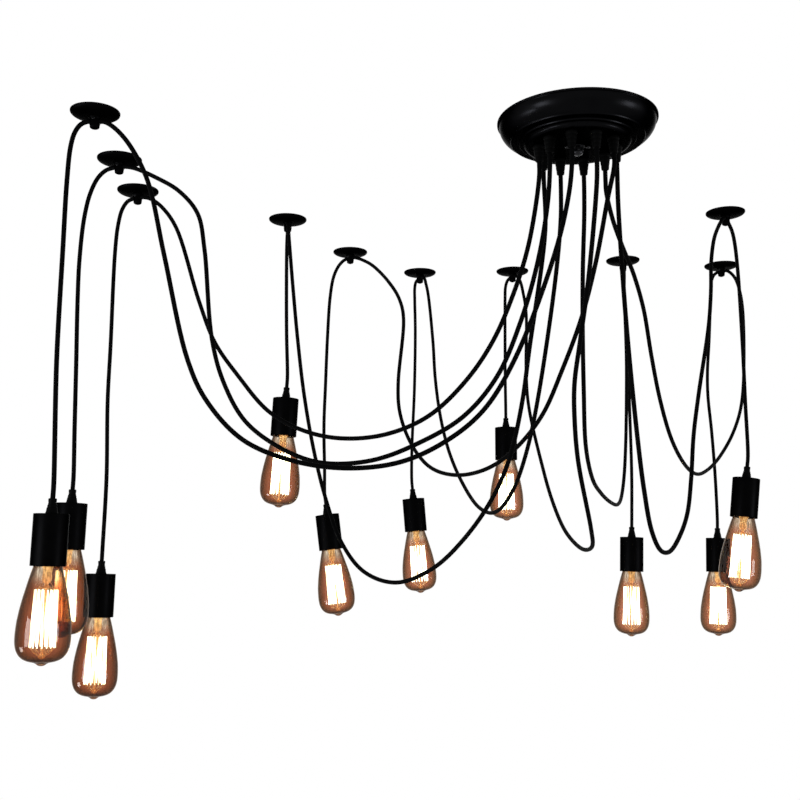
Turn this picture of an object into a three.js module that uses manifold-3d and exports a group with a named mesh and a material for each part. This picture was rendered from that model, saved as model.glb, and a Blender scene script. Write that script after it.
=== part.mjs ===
// Spider pendant light. A round canopy on the ceiling sends out ten cords. Each swags to its own
// saucer hook on the ceiling, passes the hook's port and drops to a lamp holder with a pear-shaped
// filament bulb. Millimetres, +Z up, origin on the ceiling at the canopy's centre.
import * as THREE from "three";
import { mergeVertices } from "three/addons/utils/BufferGeometryUtils.js";
import Module from "manifold-3d";

const wasm = await Module();
wasm.setup();

// Driving dimensions shared by every piece
const clearance = 0.3; // between pieces that touch
const overrun = 1; // how far a cutter passes through what it cuts
const cordDiameter = 6;
const cordSides = 8;
const reach = 1000; // of ceiling that the hooks are spread over, and of height below them
const sheet = 1.2; // thickness of the pressed steel
const arcSegments = 4; // of each round corner and half of each round hole in a plate

// The canopy: a pressed dish with a lip, a round shoulder, a crease and a flat middle
const canopy = {
  radius: 103,
  lipHeight: 3,
  lipInset: 2.4,
  lipStep: 0.8,
  creaseRadius: 70,
  creaseWidth: 1.6,
  creaseDepth: 0.8,
  shoulderDepth: 28,
  flatRadius: 62,
  depth: 34,
  shoulderSteps: 4,
  rimSteps: 2,
  sides: 28,
};

// The ten cord grips, moulded cones that stand in a ring on the canopy's flat middle
const grip = {
  count: 10,
  circleRadius: 50,
  length: 20,
  baseRadius: 7.5,
  tipRadius: 5,
  collarHeight: 3,
  lead: 16, // how far a cord runs straight down out of its grip
  sides: 10,
};

// What hangs the canopy: a bar on the ceiling, a stud with its nuts, two long screws
const bracket = {
  length: 140,
  width: 22,
  thickness: 3,
  pocketDepth: 1.5,
  slotSpacing: 100,
  slotLength: 14,
  slotWidth: 5,
  cornerRadius: 6,
};
const stud = { radius: 5, tail: 6, sides: 12 };
const lockNut = { acrossFlats: 14, height: 5 };
const washer = { radius: 9.5, height: 1.2 };
const capNut = { acrossFlats: 14, hexHeight: 6, domeHeight: 5, domeSteps: 3 };
const canopyScrew = { offset: 13.5, shankRadius: 1.75, headRadius: 3, headHeight: 2.2, sides: 8 };
const earthScrew = { offset: -32, shankRadius: 1.75, headRadius: 3.6, headHeight: 2.4, sides: 8 };
const terminal = {
  ways: 3,
  pitch: 7.5,
  width: 17,
  height: 9,
  offset: 31,
  collarRadius: 2.9,
  collarHeight: 4,
  sides: 8,
};

// The saucer hook: a domed plate with a stud that the cord passes through and a clamp knob
const hook = {
  radius: 31,
  edge: 1.6,
  domeDepth: 8,
  studRadius: 6.5,
  studLength: 11,
  knobRadius: 4.3,
  knobLength: 4,
  portDrop: 13, // of the port's centre below the ceiling
  portLead: 3, // how far a cord runs straight out of the port
  domeSteps: 2,
  sides: 10,
};

// The lamp holder: a straight shell with a strain relief on top and a screw socket inside
const holder = {
  radius: 21,
  length: 62,
  topPlate: 2,
  reliefHeight: 18,
  reliefBaseRadius: 6.9,
  reliefTopRadius: 4.3,
  reliefCrown: 1.5,
  sleeveWall: 1.4,
  sleeveSetback: 6, // of the socket's mouth inside the shell's rim
  sleeveDepth: 26,
  floor: 2,
  postRadius: 6,
  lead: 18, // how far a cord runs straight into the strain relief
  sides: 10,
};

// The bulb: a screw cap and a long pear of clear glass with a blown tip
const bulb = {
  capRadius: 13.1,
  glassRadius: 32,
  glassLength: 116, // below the holder's rim
  neckRadius: 16.5, // at the holder's rim
  wall: 1,
  bellyShare: 0.8, // of the glass's length, down to where it is widest
  tipRadius: 3.5,
  tipLength: 4,
  vent: 1.6, // the exhaust hole in the cap's end
  flankSteps: 3,
  bottomSteps: 3,
  sides: 12,
};

const materials = {
  canopyBlack: new THREE.MeshStandardMaterial({ color: 0x0b0b0c, roughness: 0.25, metalness: 0.4 }),
  satinBlack: new THREE.MeshStandardMaterial({ color: 0x0a0a0a, roughness: 0.45, metalness: 0.3 }),
  cordBlack: new THREE.MeshStandardMaterial({ color: 0x070707, roughness: 0.8, metalness: 0 }),
  steel: new THREE.MeshStandardMaterial({ color: 0xb9bcc0, roughness: 0.3, metalness: 0.9 }),
  zinc: new THREE.MeshStandardMaterial({ color: 0x9a9da0, roughness: 0.45, metalness: 0.8 }),
  terminalWhite: new THREE.MeshStandardMaterial({ color: 0xe9e6dc, roughness: 0.6, metalness: 0 }),
  amberGlass: new THREE.MeshStandardMaterial({
    color: 0xc98d4f,
    roughness: 0.05,
    metalness: 0,
    transparent: true,
    opacity: 0.45,
  }),
};

// One entry for each arm, from the canopy to its bulb. The hook and the top of the strain relief are
// shares of the reach. The two cord routes are in millimetres, between the pieces that hold their ends.
const arms = [
  {
    gripNumber: 7,
    hookShares: [-0.615, -0.03],
    portTurn: -2,
    pendantShares: [-0.646, -0.028, -0.489],
    tilt: -1.3,
    swag: [
      [-20, -47, -112], [-38, -47, -186], [-90, -45, -321], [-129, -44, -384],
      [-174, -43, -421], [-229, -41, -446], [-295, -39, -453], [-361, -37, -443], [-419, -36, -418],
      [-464, -34, -370], [-488, -34, -320], [-521, -33, -188], [-545, -32, -92],
      [-568, -31, -47], [-586, -31, -25], [-600, -30, -14.5],
    ],
    drop: [
      [-633, -29, -16.5], [-640, -29, -27], [-644.5, -29, -46], [-647, -29, -90], [-648, -29, -180],
      [-649, -29, -320],
    ],
  },
  {
    gripNumber: 6,
    hookShares: [-0.625, 0.13],
    portTurn: -15,
    pendantShares: [-0.672, 0.136, -0.467],
    tilt: -1.5,
    swag: [
      [-44, -29, -118], [-57, -25, -192], [-79, -19, -268], [-109, -11, -337], [-150, 0, -385],
      [-204, 15, -416], [-265, 32, -437], [-331, 50, -438], [-383, 64, -418], [-432, 77, -381],
      [-463, 86, -328], [-481, 91, -268], [-495, 94, -142], [-506, 97, -92],
      [-534, 105, -57], [-570, 115, -33], [-602, 124, -16.5],
    ],
    drop: [
      [-645, 135, -15.5], [-656, 136, -26], [-666, 136, -49], [-673, 136, -85], [-677, 136, -146],
      [-677, 136, -204], [-675, 136, -290], [-673, 136, -386],
    ],
  },
  {
    gripNumber: 5,
    hookShares: [-0.63, 0.26],
    portTurn: -25,
    pendantShares: [-0.665, 0.27, -0.562],
    tilt: -1.1,
    swag: [
      [-54, 2, -105], [-66, 7, -168], [-83, 15, -222], [-110, 27, -284], [-145, 43, -334],
      [-192, 64, -376], [-248, 89, -397], [-310, 116, -399], [-365, 142, -384], [-413, 163, -355],
      [-458, 183, -303], [-496, 200, -250], [-522, 211, -188], [-563, 230, -70],
      [-587, 240, -35], [-608, 250, -17.5],
    ],
    drop: [
      [-647, 267.5, -15.5], [-655.5, 270, -27], [-661, 270, -52], [-664, 270, -95], [-665, 270, -240],
      [-666, 270, -324], [-663, 270, -440],
    ],
  },
  {
    gripNumber: 4,
    hookShares: [-0.415, 0.4],
    portTurn: -80,
    pendantShares: [-0.415, 0.424, -0.28],
    tilt: -3,
    swag: [
      [-40, 29, -137], [-61, 49, -290], [-71, 60, -362], [-87, 75, -432],
      [-110, 98, -485], [-145, 132, -535], [-184, 171, -572], [-235, 222, -592], [-283, 269, -576],
      [-317, 303, -533], [-342, 328, -469], [-363, 349, -392], [-381, 364, -300], [-393, 371, -210],
      [-402, 374, -125], [-408, 376, -62], [-411, 377.5, -29], [-412, 384, -16.5],
    ],
    drop: [
      [-417, 416, -16.5], [-418, 422, -27], [-418.5, 424, -45], [-418, 424, -110],
      [-416.5, 424, -190],
    ],
  },
  {
    gripNumber: 9,
    hookShares: [-0.32, 0.59],
    portTurn: -35,
    pendantShares: [-0.361, 0.606, -0.461],
    tilt: 7.2,
    swag: [
      [33, -17, -112], [20, 6, -188], [5, 32, -252], [-16, 68, -314], [-38, 106, -368],
      [-70, 160, -409], [-105, 222, -431], [-147, 292, -434], [-185, 358, -414], [-214, 409, -368],
      [-230, 436, -315], [-232, 438, -270], [-223, 432, -165], [-230, 460, -122],
      [-250, 497, -80], [-277, 536, -42], [-297, 568, -22], [-306.5, 579.5, -15.5],
    ],
    drop: [
      [-333.5, 599.5, -15], [-342.5, 604.5, -24], [-351, 606, -43], [-357, 606, -80],
      [-361, 606, -150], [-364, 606, -246], [-366, 606, -320], [-364, 606, -400],
    ],
  },
  {
    gripNumber: 3,
    hookShares: [-0.19, 0.73],
    portTurn: -65,
    pendantShares: [-0.205, 0.75, -0.424],
    tilt: 4.6,
    swag: [
      [-16, 52, -115], [-22, 72, -192], [-40, 142, -345], [-51, 186, -410],
      [-65, 242, -460], [-84, 315, -488], [-104, 392, -477], [-127, 482, -427], [-145, 554, -366],
      [-157, 604, -298], [-164, 642, -225], [-167, 672, -150], [-175, 706, -49],
      [-179, 707, -29], [-181.5, 712, -18],
    ],
    drop: [
      [-198, 746, -17], [-200, 750.5, -28], [-200, 751, -50], [-199, 750, -113],
      [-201, 750, -230], [-206, 750, -345],
    ],
  },
  {
    gripNumber: 8,
    hookShares: [-0.01, 0.72],
    portTurn: -60,
    pendantShares: [-0.025, 0.74, -0.288],
    tilt: -0.3,
    swag: [
      [15, -44, -100], [6, -18, -216], [-2, 5, -287], [-7, 28, -340],
      [-5, 46, -384], [2, 70, -433], [28, 135, -520], [37, 180, -541],
      [36, 232, -546], [32, 290, -537], [25, 358, -512], [19, 440, -463], [14, 505, -407],
      [3, 605, -281], [4, 640, -211], [11, 684, -90],
      [7, 694, -50], [3.5, 698.5, -30], [-0.5, 705, -18],
    ],
    drop: [
      [-19, 735.5, -17.5], [-22, 739.5, -29], [-23, 740, -50], [-24, 740, -116], [-25, 740, -200],
    ],
  },
  {
    gripNumber: 2,
    hookShares: [0.19, 0.645],
    portTurn: -98,
    pendantShares: [0.196, 0.669, -0.499],
    tilt: -2,
    swag: [
      [15, 50, -110], [13, 60, -181], [14, 79, -258], [19, 112, -333], [30, 172, -402],
      [50, 240, -443], [75, 310, -460], [103, 380, -470], [128, 450, -469], [148, 515, -450],
      [162, 556, -410], [173, 587, -347], [180, 604, -270], [184, 612, -190],
      [185.5, 620, -70], [187, 621.5, -35], [188, 626.5, -20],
    ],
    drop: [
      [192.5, 661, -16.5], [194.5, 667.5, -27.5], [196, 669, -55], [198, 669, -140], [199, 669, -280],
      [199, 669, -400],
    ],
  },
  {
    gripNumber: 0,
    hookShares: [0.3, 0.365],
    portTurn: -125,
    pendantShares: [0.321, 0.382, -0.414],
    tilt: -6.7,
    swag: [
      [50, 0, -115], [58, 12, -265], [72, 32, -411], [81, 45, -475],
      [92, 61, -523], [108, 85, -548], [127, 113, -550], [150, 146, -528], [169, 174, -495],
      [180, 190, -448], [190, 205, -385], [206, 228, -322], [240, 278, -205],
      [249, 290, -149], [254, 299, -102], [264, 313, -62], [278, 334, -35], [288.5, 349, -19.5],
    ],
    drop: [
      [309.5, 378, -17], [314.5, 381, -27], [318, 382, -45], [321, 382, -90], [323, 382, -209],
      [323, 382, -310],
    ],
  },
  {
    gripNumber: 1,
    hookShares: [0.385, 0.68],
    portTurn: -48,
    pendantShares: [0.362, 0.7, -0.5],
    tilt: -1.9,
    swag: [
      [41.5, 32, -84], [53, 52, -115], [72, 88, -140], [97, 135, -168], [119, 178, -208],
      [134, 206, -268], [152, 240, -325], [178, 289, -376], [212, 352, -409], [250, 424, -421],
      [290, 498, -409], [330, 557, -380], [368, 600, -334], [393, 627, -284], [406, 642, -222],
      [414, 654, -95], [411, 658, -55], [404.5, 661.5, -30], [396, 668, -16.5],
    ],
    drop: [
      [374, 693, -17], [370.5, 698, -28], [369, 700, -50], [362, 700, -140], [356, 700, -205],
      [355, 700, -250], [359, 700, -317], [362, 700, -400],
    ],
  },
];

// A closed outline of [radius, height] pairs turned about the vertical axis
function revolve(outline, sides) {
  const points = outline.map(([radius, height]) => new THREE.Vector2(radius, height));
  const geometry = new THREE.LatheGeometry(points, sides);
  geometry.rotateX(Math.PI / 2);
  return geometry;
}

// A quarter of an ellipse between two corners, leaving the first corner upright in radius
function quarterArc(from, to, steps) {
  const points = [];
  for (let step = 1; step <= steps; step += 1) {
    const angle = (step / steps) * (Math.PI / 2);
    const radius = to[0] + (from[0] - to[0]) * Math.cos(angle);
    const height = from[1] + (to[1] - from[1]) * Math.sin(angle);
    points.push([radius, height]);
  }
  return points;
}

// An outline moved sideways by a wall, each corner along the mean of its two edges' normals
function offsetOutline(outline, wall) {
  return outline.map((point, index) => {
    const before = outline[Math.max(index - 1, 0)];
    const after = outline[Math.min(index + 1, outline.length - 1)];
    const run = [after[0] - before[0], after[1] - before[1]];
    const length = Math.hypot(run[0], run[1]);
    return [point[0] + (wall * run[1]) / length, point[1] - (wall * run[0]) / length];
  });
}

function toSolid(geometry) {
  const bare = geometry.clone();
  bare.deleteAttribute("normal");
  bare.deleteAttribute("uv");
  const merged = mergeVertices(bare);
  const corners = merged.index.array;
  const kept = [];
  for (let corner = 0; corner < corners.length; corner += 3) {
    const [a, b, c] = corners.subarray(corner, corner + 3);
    if (a !== b && b !== c && c !== a) {
      kept.push(a, b, c);
    }
  }
  return new wasm.Manifold(
    new wasm.Mesh({
      numProp: 3,
      vertProperties: merged.attributes.position.array,
      triVerts: new Uint32Array(kept),
    }),
  );
}

function toGeometry(solid) {
  const mesh = solid.getMesh();
  const geometry = new THREE.BufferGeometry();
  geometry.setAttribute("position", new THREE.BufferAttribute(mesh.vertProperties, mesh.numProp));
  geometry.setIndex(new THREE.BufferAttribute(mesh.triVerts, 1));
  const faceted = geometry.toNonIndexed();
  faceted.computeVertexNormals();
  return faceted;
}

function namedMesh(name, geometry, material) {
  const mesh = new THREE.Mesh(geometry, material);
  mesh.name = name;
  return mesh;
}

// The corner radius of a many-sided hole whose flats clear a round piece
function clearRadius(radius, sides) {
  return (radius + clearance) / Math.cos(Math.PI / sides);
}

// A round hole in a flat shape that clears a round piece
function roundHole(x, radius) {
  const holeRadius = clearRadius(radius, 2 * arcSegments);
  return new THREE.Path().absarc(x, 0, holeRadius, 0, 2 * Math.PI, true);
}

// An upright cylinder between two heights
function uprightCylinder(radius, low, high, sides) {
  const geometry = new THREE.CylinderGeometry(radius, radius, high - low, sides);
  geometry.rotateX(Math.PI / 2);
  geometry.translate(0, 0, (low + high) / 2);
  return geometry;
}

function hexagonShape(acrossFlats) {
  const cornerRadius = acrossFlats / Math.sqrt(3);
  const shape = new THREE.Shape();
  for (let corner = 0; corner < 6; corner += 1) {
    const angle = (corner * Math.PI) / 3;
    const x = cornerRadius * Math.cos(angle);
    const y = cornerRadius * Math.sin(angle);
    if (corner === 0) {
      shape.moveTo(x, y);
    } else {
      shape.lineTo(x, y);
    }
  }
  shape.closePath();
  return shape;
}

// A flat shape made into a plate whose top lies at the given height
function plate(shape, top, thickness) {
  const geometry = new THREE.ExtrudeGeometry(shape, {
    depth: thickness,
    bevelEnabled: false,
    curveSegments: arcSegments,
  });
  geometry.translate(0, 0, top - thickness);
  return geometry;
}

// A screw with its pan head below and its shank going up
function screwGeometry(screw, headTop, shankTop) {
  const crown = screw.headHeight / 3;
  const outline = [
    [0, headTop - screw.headHeight],
    [screw.headRadius - crown, headTop - screw.headHeight],
    [screw.headRadius, headTop - screw.headHeight + crown],
    [screw.headRadius, headTop],
    [screw.shankRadius, headTop],
    [screw.shankRadius, shankTop],
    [0, shankTop],
  ];
  return revolve(outline, screw.sides);
}

// The height of the canopy's outer flat face, which the grips, the washer and the screws meet
const flatHeight = -canopy.depth;

function canopyCover() {
  const lipTop = [canopy.radius, 0];
  const lipBottom = [canopy.radius, -canopy.lipHeight];
  const shoulderStart = [canopy.radius - canopy.lipInset, -canopy.lipHeight - canopy.lipStep];
  const shoulderEnd = [canopy.creaseRadius + canopy.creaseWidth, -canopy.shoulderDepth];
  const crease = [canopy.creaseRadius, -canopy.shoulderDepth + canopy.creaseDepth];
  const rimStart = [canopy.creaseRadius - canopy.creaseWidth, -canopy.shoulderDepth];
  const rimEnd = [canopy.flatRadius, flatHeight];
  const boreRadius = clearRadius(stud.radius, canopy.sides);
  const outside = [
    lipTop,
    lipBottom,
    shoulderStart,
    ...quarterArc(shoulderStart, shoulderEnd, canopy.shoulderSteps),
    crease,
    rimStart,
    ...quarterArc(rimStart, rimEnd, canopy.rimSteps),
    [boreRadius, flatHeight],
  ];
  const inside = offsetOutline(outside, sheet);
  inside[0] = [canopy.radius - sheet, 0];
  inside[inside.length - 1] = [boreRadius, flatHeight + sheet];
  const loop = [...outside.reverse(), ...inside, outside[0]];
  let solid = toSolid(revolve(loop, canopy.sides));

  for (const side of [-1, 1]) {
    const holeRadius = clearRadius(canopyScrew.shankRadius, canopyScrew.sides);
    const hole = uprightCylinder(
      holeRadius,
      flatHeight - overrun,
      flatHeight + sheet + overrun,
      canopyScrew.sides,
    );
    hole.translate(side * canopyScrew.offset, 0, 0);
    solid = solid.subtract(toSolid(hole));
  }

  const gripOutline = [
    [0, flatHeight - grip.length],
    [grip.tipRadius, flatHeight - grip.length],
    [grip.baseRadius, flatHeight - grip.collarHeight],
    [grip.baseRadius, flatHeight + sheet / 2],
    [0, flatHeight + sheet / 2],
  ];
  for (let number = 0; number < grip.count; number += 1) {
    const [x, y] = gripPlace(number);
    const cone = revolve(gripOutline, grip.sides);
    cone.translate(x, y, 0);
    solid = solid.add(toSolid(cone));
  }
  return namedMesh("canopy_cover", toGeometry(solid), materials.canopyBlack);
}

function gripPlace(number) {
  const angle = (number / grip.count) * 2 * Math.PI;
  return [grip.circleRadius * Math.cos(angle), grip.circleRadius * Math.sin(angle)];
}

// A bar with round ends, a fixing slot near each end and a threaded place for every screw
function mountingBracket() {
  const halfLength = bracket.length / 2;
  const halfWidth = bracket.width / 2;
  const corner = Math.min(bracket.cornerRadius, halfWidth);
  const shape = new THREE.Shape();
  shape.moveTo(-halfLength + corner, -halfWidth);
  shape.lineTo(halfLength - corner, -halfWidth);
  shape.absarc(halfLength - corner, -halfWidth + corner, corner, -Math.PI / 2, 0, false);
  shape.absarc(halfLength - corner, halfWidth - corner, corner, 0, Math.PI / 2, false);
  shape.absarc(-halfLength + corner, halfWidth - corner, corner, Math.PI / 2, Math.PI, false);
  shape.absarc(-halfLength + corner, -halfWidth + corner, corner, Math.PI, 1.5 * Math.PI, false);

  const slotRadius = bracket.slotWidth / 2;
  const slotHalf = bracket.slotLength / 2 - slotRadius;
  for (const side of [-1, 1]) {
    const middle = (side * bracket.slotSpacing) / 2;
    const slot = new THREE.Path();
    slot.absarc(middle + slotHalf, 0, slotRadius, -Math.PI / 2, Math.PI / 2, false);
    slot.absarc(middle - slotHalf, 0, slotRadius, Math.PI / 2, 1.5 * Math.PI, false);
    shape.holes.push(slot, roundHole(side * canopyScrew.offset, canopyScrew.shankRadius));
  }
  shape.holes.push(roundHole(earthScrew.offset, earthScrew.shankRadius));

  const pocket = uprightCylinder(
    clearRadius(stud.radius, stud.sides),
    -bracket.thickness - overrun,
    -bracket.thickness + bracket.pocketDepth,
    stud.sides,
  );
  const solid = toSolid(plate(shape, 0, bracket.thickness)).subtract(toSolid(pocket));
  return namedMesh("mounting_bracket", toGeometry(solid), materials.zinc);
}

const washerTop = flatHeight - clearance;
const capNutTop = washerTop - washer.height - clearance;

function canopyHardware() {
  const studTop = -bracket.thickness + bracket.pocketDepth - clearance;
  const studBottom = capNutTop - stud.tail;
  const boreRadius = clearRadius(stud.radius, stud.sides);
  const underBracket = -bracket.thickness - clearance;

  const dome = [[0, capNutTop - capNut.hexHeight]];
  const domeRadius = capNut.acrossFlats / 2;
  const domeBase = [domeRadius, capNutTop - capNut.hexHeight];
  const domeTip = [0, capNutTop - capNut.hexHeight - capNut.domeHeight];
  dome.push(domeBase, ...quarterArc(domeBase, domeTip, capNut.domeSteps));
  const bore = uprightCylinder(boreRadius, studBottom - clearance, capNutTop + overrun, stud.sides);
  const nut = toSolid(plate(hexagonShape(capNut.acrossFlats), capNutTop, capNut.hexHeight))
    .add(toSolid(revolve(dome.reverse(), stud.sides)))
    .subtract(toSolid(bore));

  const washerShape = new THREE.Shape().absarc(0, 0, washer.radius, 0, 2 * Math.PI, false);
  washerShape.holes.push(roundHole(0, stud.radius));
  const lockNutShape = hexagonShape(lockNut.acrossFlats);
  lockNutShape.holes.push(roundHole(0, stud.radius));

  const pieces = [
    namedMesh(
      "centre_stud",
      uprightCylinder(stud.radius, studBottom, studTop, stud.sides),
      materials.zinc,
    ),
    namedMesh("lock_nut", plate(lockNutShape, underBracket, lockNut.height), materials.zinc),
    namedMesh("cap_washer", plate(washerShape, washerTop, washer.height), materials.steel),
    namedMesh("cap_nut", toGeometry(nut), materials.steel),
  ];

  for (const [side, word] of [[-1, "left"], [1, "right"]]) {
    const headTop = flatHeight - clearance;
    const screw = namedMesh(
      "canopy_screw_" + word,
      screwGeometry(canopyScrew, headTop, -clearance),
      materials.steel,
    );
    screw.position.x = side * canopyScrew.offset;
    pieces.push(screw);
  }

  const earth = namedMesh(
    "earth_screw",
    screwGeometry(earthScrew, underBracket, -clearance),
    materials.zinc,
  );
  earth.position.x = earthScrew.offset;
  pieces.push(earth, terminalBlock(underBracket));
  return pieces;
}

// A strip of screw terminals, one round collar for each way
function terminalBlock(top) {
  const length = terminal.ways * terminal.pitch;
  const base = new THREE.BoxGeometry(length, terminal.width, terminal.height);
  base.translate(0, 0, top - terminal.height / 2);
  let solid = toSolid(base);
  const low = top - terminal.height - terminal.collarHeight;
  for (let way = 0; way < terminal.ways; way += 1) {
    const x = (way - (terminal.ways - 1) / 2) * terminal.pitch;
    for (const side of [-1, 1]) {
      const collar = uprightCylinder(
        terminal.collarRadius,
        low,
        top - terminal.height / 2,
        terminal.sides,
      );
      collar.translate(x, (side * terminal.width) / 4, 0);
      solid = solid.add(toSolid(collar));
    }
  }
  const mesh = namedMesh("terminal_block", toGeometry(solid), materials.terminalWhite);
  mesh.position.x = terminal.offset;
  return mesh;
}

function hookGeometry() {
  const plateEdge = [hook.radius, -hook.edge];
  const plateBottom = [hook.studRadius, -hook.domeDepth];
  const studBottom = -hook.domeDepth - hook.studLength;
  const knobBottom = studBottom - hook.knobLength;
  const outline = [
    [0, 0],
    [hook.radius, 0],
    plateEdge,
    ...quarterArc(plateEdge, plateBottom, hook.domeSteps),
    [hook.studRadius, studBottom],
    [hook.knobRadius, studBottom],
    [hook.knobRadius, knobBottom],
    [0, knobBottom],
  ];
  return revolve(outline.reverse(), hook.sides);
}

// The holder's outline, with its strain relief's top at height zero
function holderGeometry() {
  const shellTop = -holder.reliefHeight;
  const rim = shellTop - holder.length;
  const under = shellTop - holder.topPlate;
  const boreRadius = clearRadius(bulb.capRadius, holder.sides);
  const sleeveRadius = boreRadius + holder.sleeveWall;
  const mouth = rim + holder.sleeveSetback;
  const floorLow = mouth + holder.sleeveDepth;
  const floorHigh = floorLow + holder.floor;
  const outline = [
    [0, 0],
    [holder.reliefTopRadius - holder.reliefCrown, 0],
    [holder.reliefTopRadius, -holder.reliefCrown],
    [holder.reliefBaseRadius, shellTop],
    [holder.radius, shellTop],
    [holder.radius, rim],
    [holder.radius - sheet, rim],
    [holder.radius - sheet, under],
    [holder.postRadius, under],
    [holder.postRadius, floorHigh],
    [sleeveRadius, floorHigh],
    [sleeveRadius, mouth],
    [boreRadius, mouth],
    [boreRadius, floorLow],
    [0, floorLow],
  ];
  return revolve(outline.reverse(), holder.sides);
}

const rimHeight = -holder.reliefHeight - holder.length;
const socketFloor = rimHeight + holder.sleeveSetback + holder.sleeveDepth;

// The bulb's outline in the holder's frame: cap, neck, long flank, round bottom and blown tip
function bulbGeometry() {
  const capTop = socketFloor - clearance;
  const capBottom = capTop - holder.sleeveDepth;
  const belly = rimHeight - bulb.glassLength * bulb.bellyShare;
  const tip = rimHeight - bulb.glassLength;
  const flank = [];
  for (let step = 0; step < bulb.flankSteps; step += 1) {
    const share = step / bulb.flankSteps;
    const swell = Math.sin((share * Math.PI) / 2) ** bulb.bellyShare;
    const radius = bulb.neckRadius + (bulb.glassRadius - bulb.neckRadius) * swell;
    flank.push([radius, rimHeight + (belly - rimHeight) * share]);
  }
  const bellyPoint = [bulb.glassRadius, belly];
  const bottomPoint = [bulb.tipRadius, tip + bulb.tipLength];
  const bottom = quarterArc(bellyPoint, bottomPoint, bulb.bottomSteps);
  const glass = [...flank, bellyPoint, ...bottom];
  const inside = offsetOutline(glass, bulb.wall);
  inside[0] = [bulb.neckRadius - bulb.wall, rimHeight];
  inside[inside.length - 1] = [0, bottomPoint[1] + bulb.wall];
  inside.splice(bulb.flankSteps - 1, 1);
  const loop = [
    [bulb.vent, capTop],
    [bulb.capRadius, capTop],
    [bulb.capRadius, capBottom],
    ...glass,
    [0, tip],
    ...inside.reverse(),
    [bulb.capRadius - bulb.wall, capBottom],
    [bulb.capRadius - bulb.wall, capTop - bulb.wall],
    [bulb.vent, capTop - bulb.wall],
    [bulb.vent, capTop],
  ];
  return revolve(loop.reverse(), bulb.sides);
}

// A path whose steps fall on the points that it was drawn through
class CordPath extends THREE.CatmullRomCurve3 {
  getPointAt(share, target) {
    return this.getPoint(share, target);
  }

  getTangentAt(share, target) {
    return this.getTangent(share, target);
  }
}

function cord(name, points) {
  const section = new THREE.Shape();
  const corners = [];
  for (let side = 0; side < cordSides; side += 1) {
    const angle = (side / cordSides) * 2 * Math.PI;
    const x = (cordDiameter / 2) * Math.cos(angle);
    const y = (cordDiameter / 2) * Math.sin(angle);
    corners.push(new THREE.Vector2(x, y));
  }
  section.setFromPoints(corners);
  const path = new CordPath(points, false, "centripetal");
  const geometry = new THREE.ExtrudeGeometry(section, {
    steps: points.length - 1,
    extrudePath: path,
    bevelEnabled: false,
  });
  return namedMesh(name, geometry, materials.cordBlack);
}

// One arm: swag cord, saucer hook, drop cord, lamp holder and bulb
function addArm(group, arm, label) {
  const hookPlace = new THREE.Vector3(arm.hookShares[0] * reach, arm.hookShares[1] * reach, 0);
  const portAngle = THREE.MathUtils.degToRad(arm.portTurn);
  const portWay = new THREE.Vector3(Math.cos(portAngle), Math.sin(portAngle), 0);
  const portCentre = hookPlace.clone().setZ(-hook.portDrop);
  const portFace = hook.studRadius * Math.cos(Math.PI / hook.sides) + clearance;

  const [gripX, gripY] = gripPlace(arm.gripNumber);
  const gripExit = new THREE.Vector3(gripX, gripY, flatHeight - grip.length - clearance);
  const swagPoints = [
    gripExit,
    gripExit.clone().setZ(gripExit.z - grip.lead),
    ...arm.swag.map((point) => new THREE.Vector3(...point)),
    portCentre.clone().addScaledVector(portWay, portFace + hook.portLead),
    portCentre.clone().addScaledVector(portWay, portFace),
  ];
  group.add(cord("swag_cord_" + label, swagPoints));

  const saucer = namedMesh("ceiling_hook_" + label, hookGeometry(), materials.satinBlack);
  saucer.position.copy(hookPlace);
  saucer.rotation.z = portAngle + Math.PI / hook.sides;
  group.add(saucer);

  const tilt = THREE.MathUtils.degToRad(arm.tilt);
  const upward = new THREE.Vector3(-Math.sin(tilt), 0, Math.cos(tilt));
  const pendantTop = new THREE.Vector3(...arm.pendantShares).multiplyScalar(reach);
  const dropPoints = [
    portCentre.clone().addScaledVector(portWay, -portFace),
    portCentre.clone().addScaledVector(portWay, -portFace - hook.portLead),
    ...arm.drop.map((point) => new THREE.Vector3(...point)),
    pendantTop.clone().addScaledVector(upward, clearance + holder.lead),
    pendantTop.clone().addScaledVector(upward, clearance),
  ];
  group.add(cord("drop_cord_" + label, dropPoints));

  const pendant = new THREE.Group();
  pendant.position.copy(pendantTop);
  pendant.rotation.y = -tilt;
  pendant.add(namedMesh("lamp_holder_" + label, holderGeometry(), materials.satinBlack));
  pendant.add(namedMesh("bulb_" + label, bulbGeometry(), materials.amberGlass));
  group.add(pendant);
}

const light = new THREE.Group();
light.add(canopyCover());
light.add(mountingBracket());
light.add(...canopyHardware());
arms.forEach((arm, index) => {
  addArm(light, arm, String(index + 1).padStart(2, "0"));
});

export default light;
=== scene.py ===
import math

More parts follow.
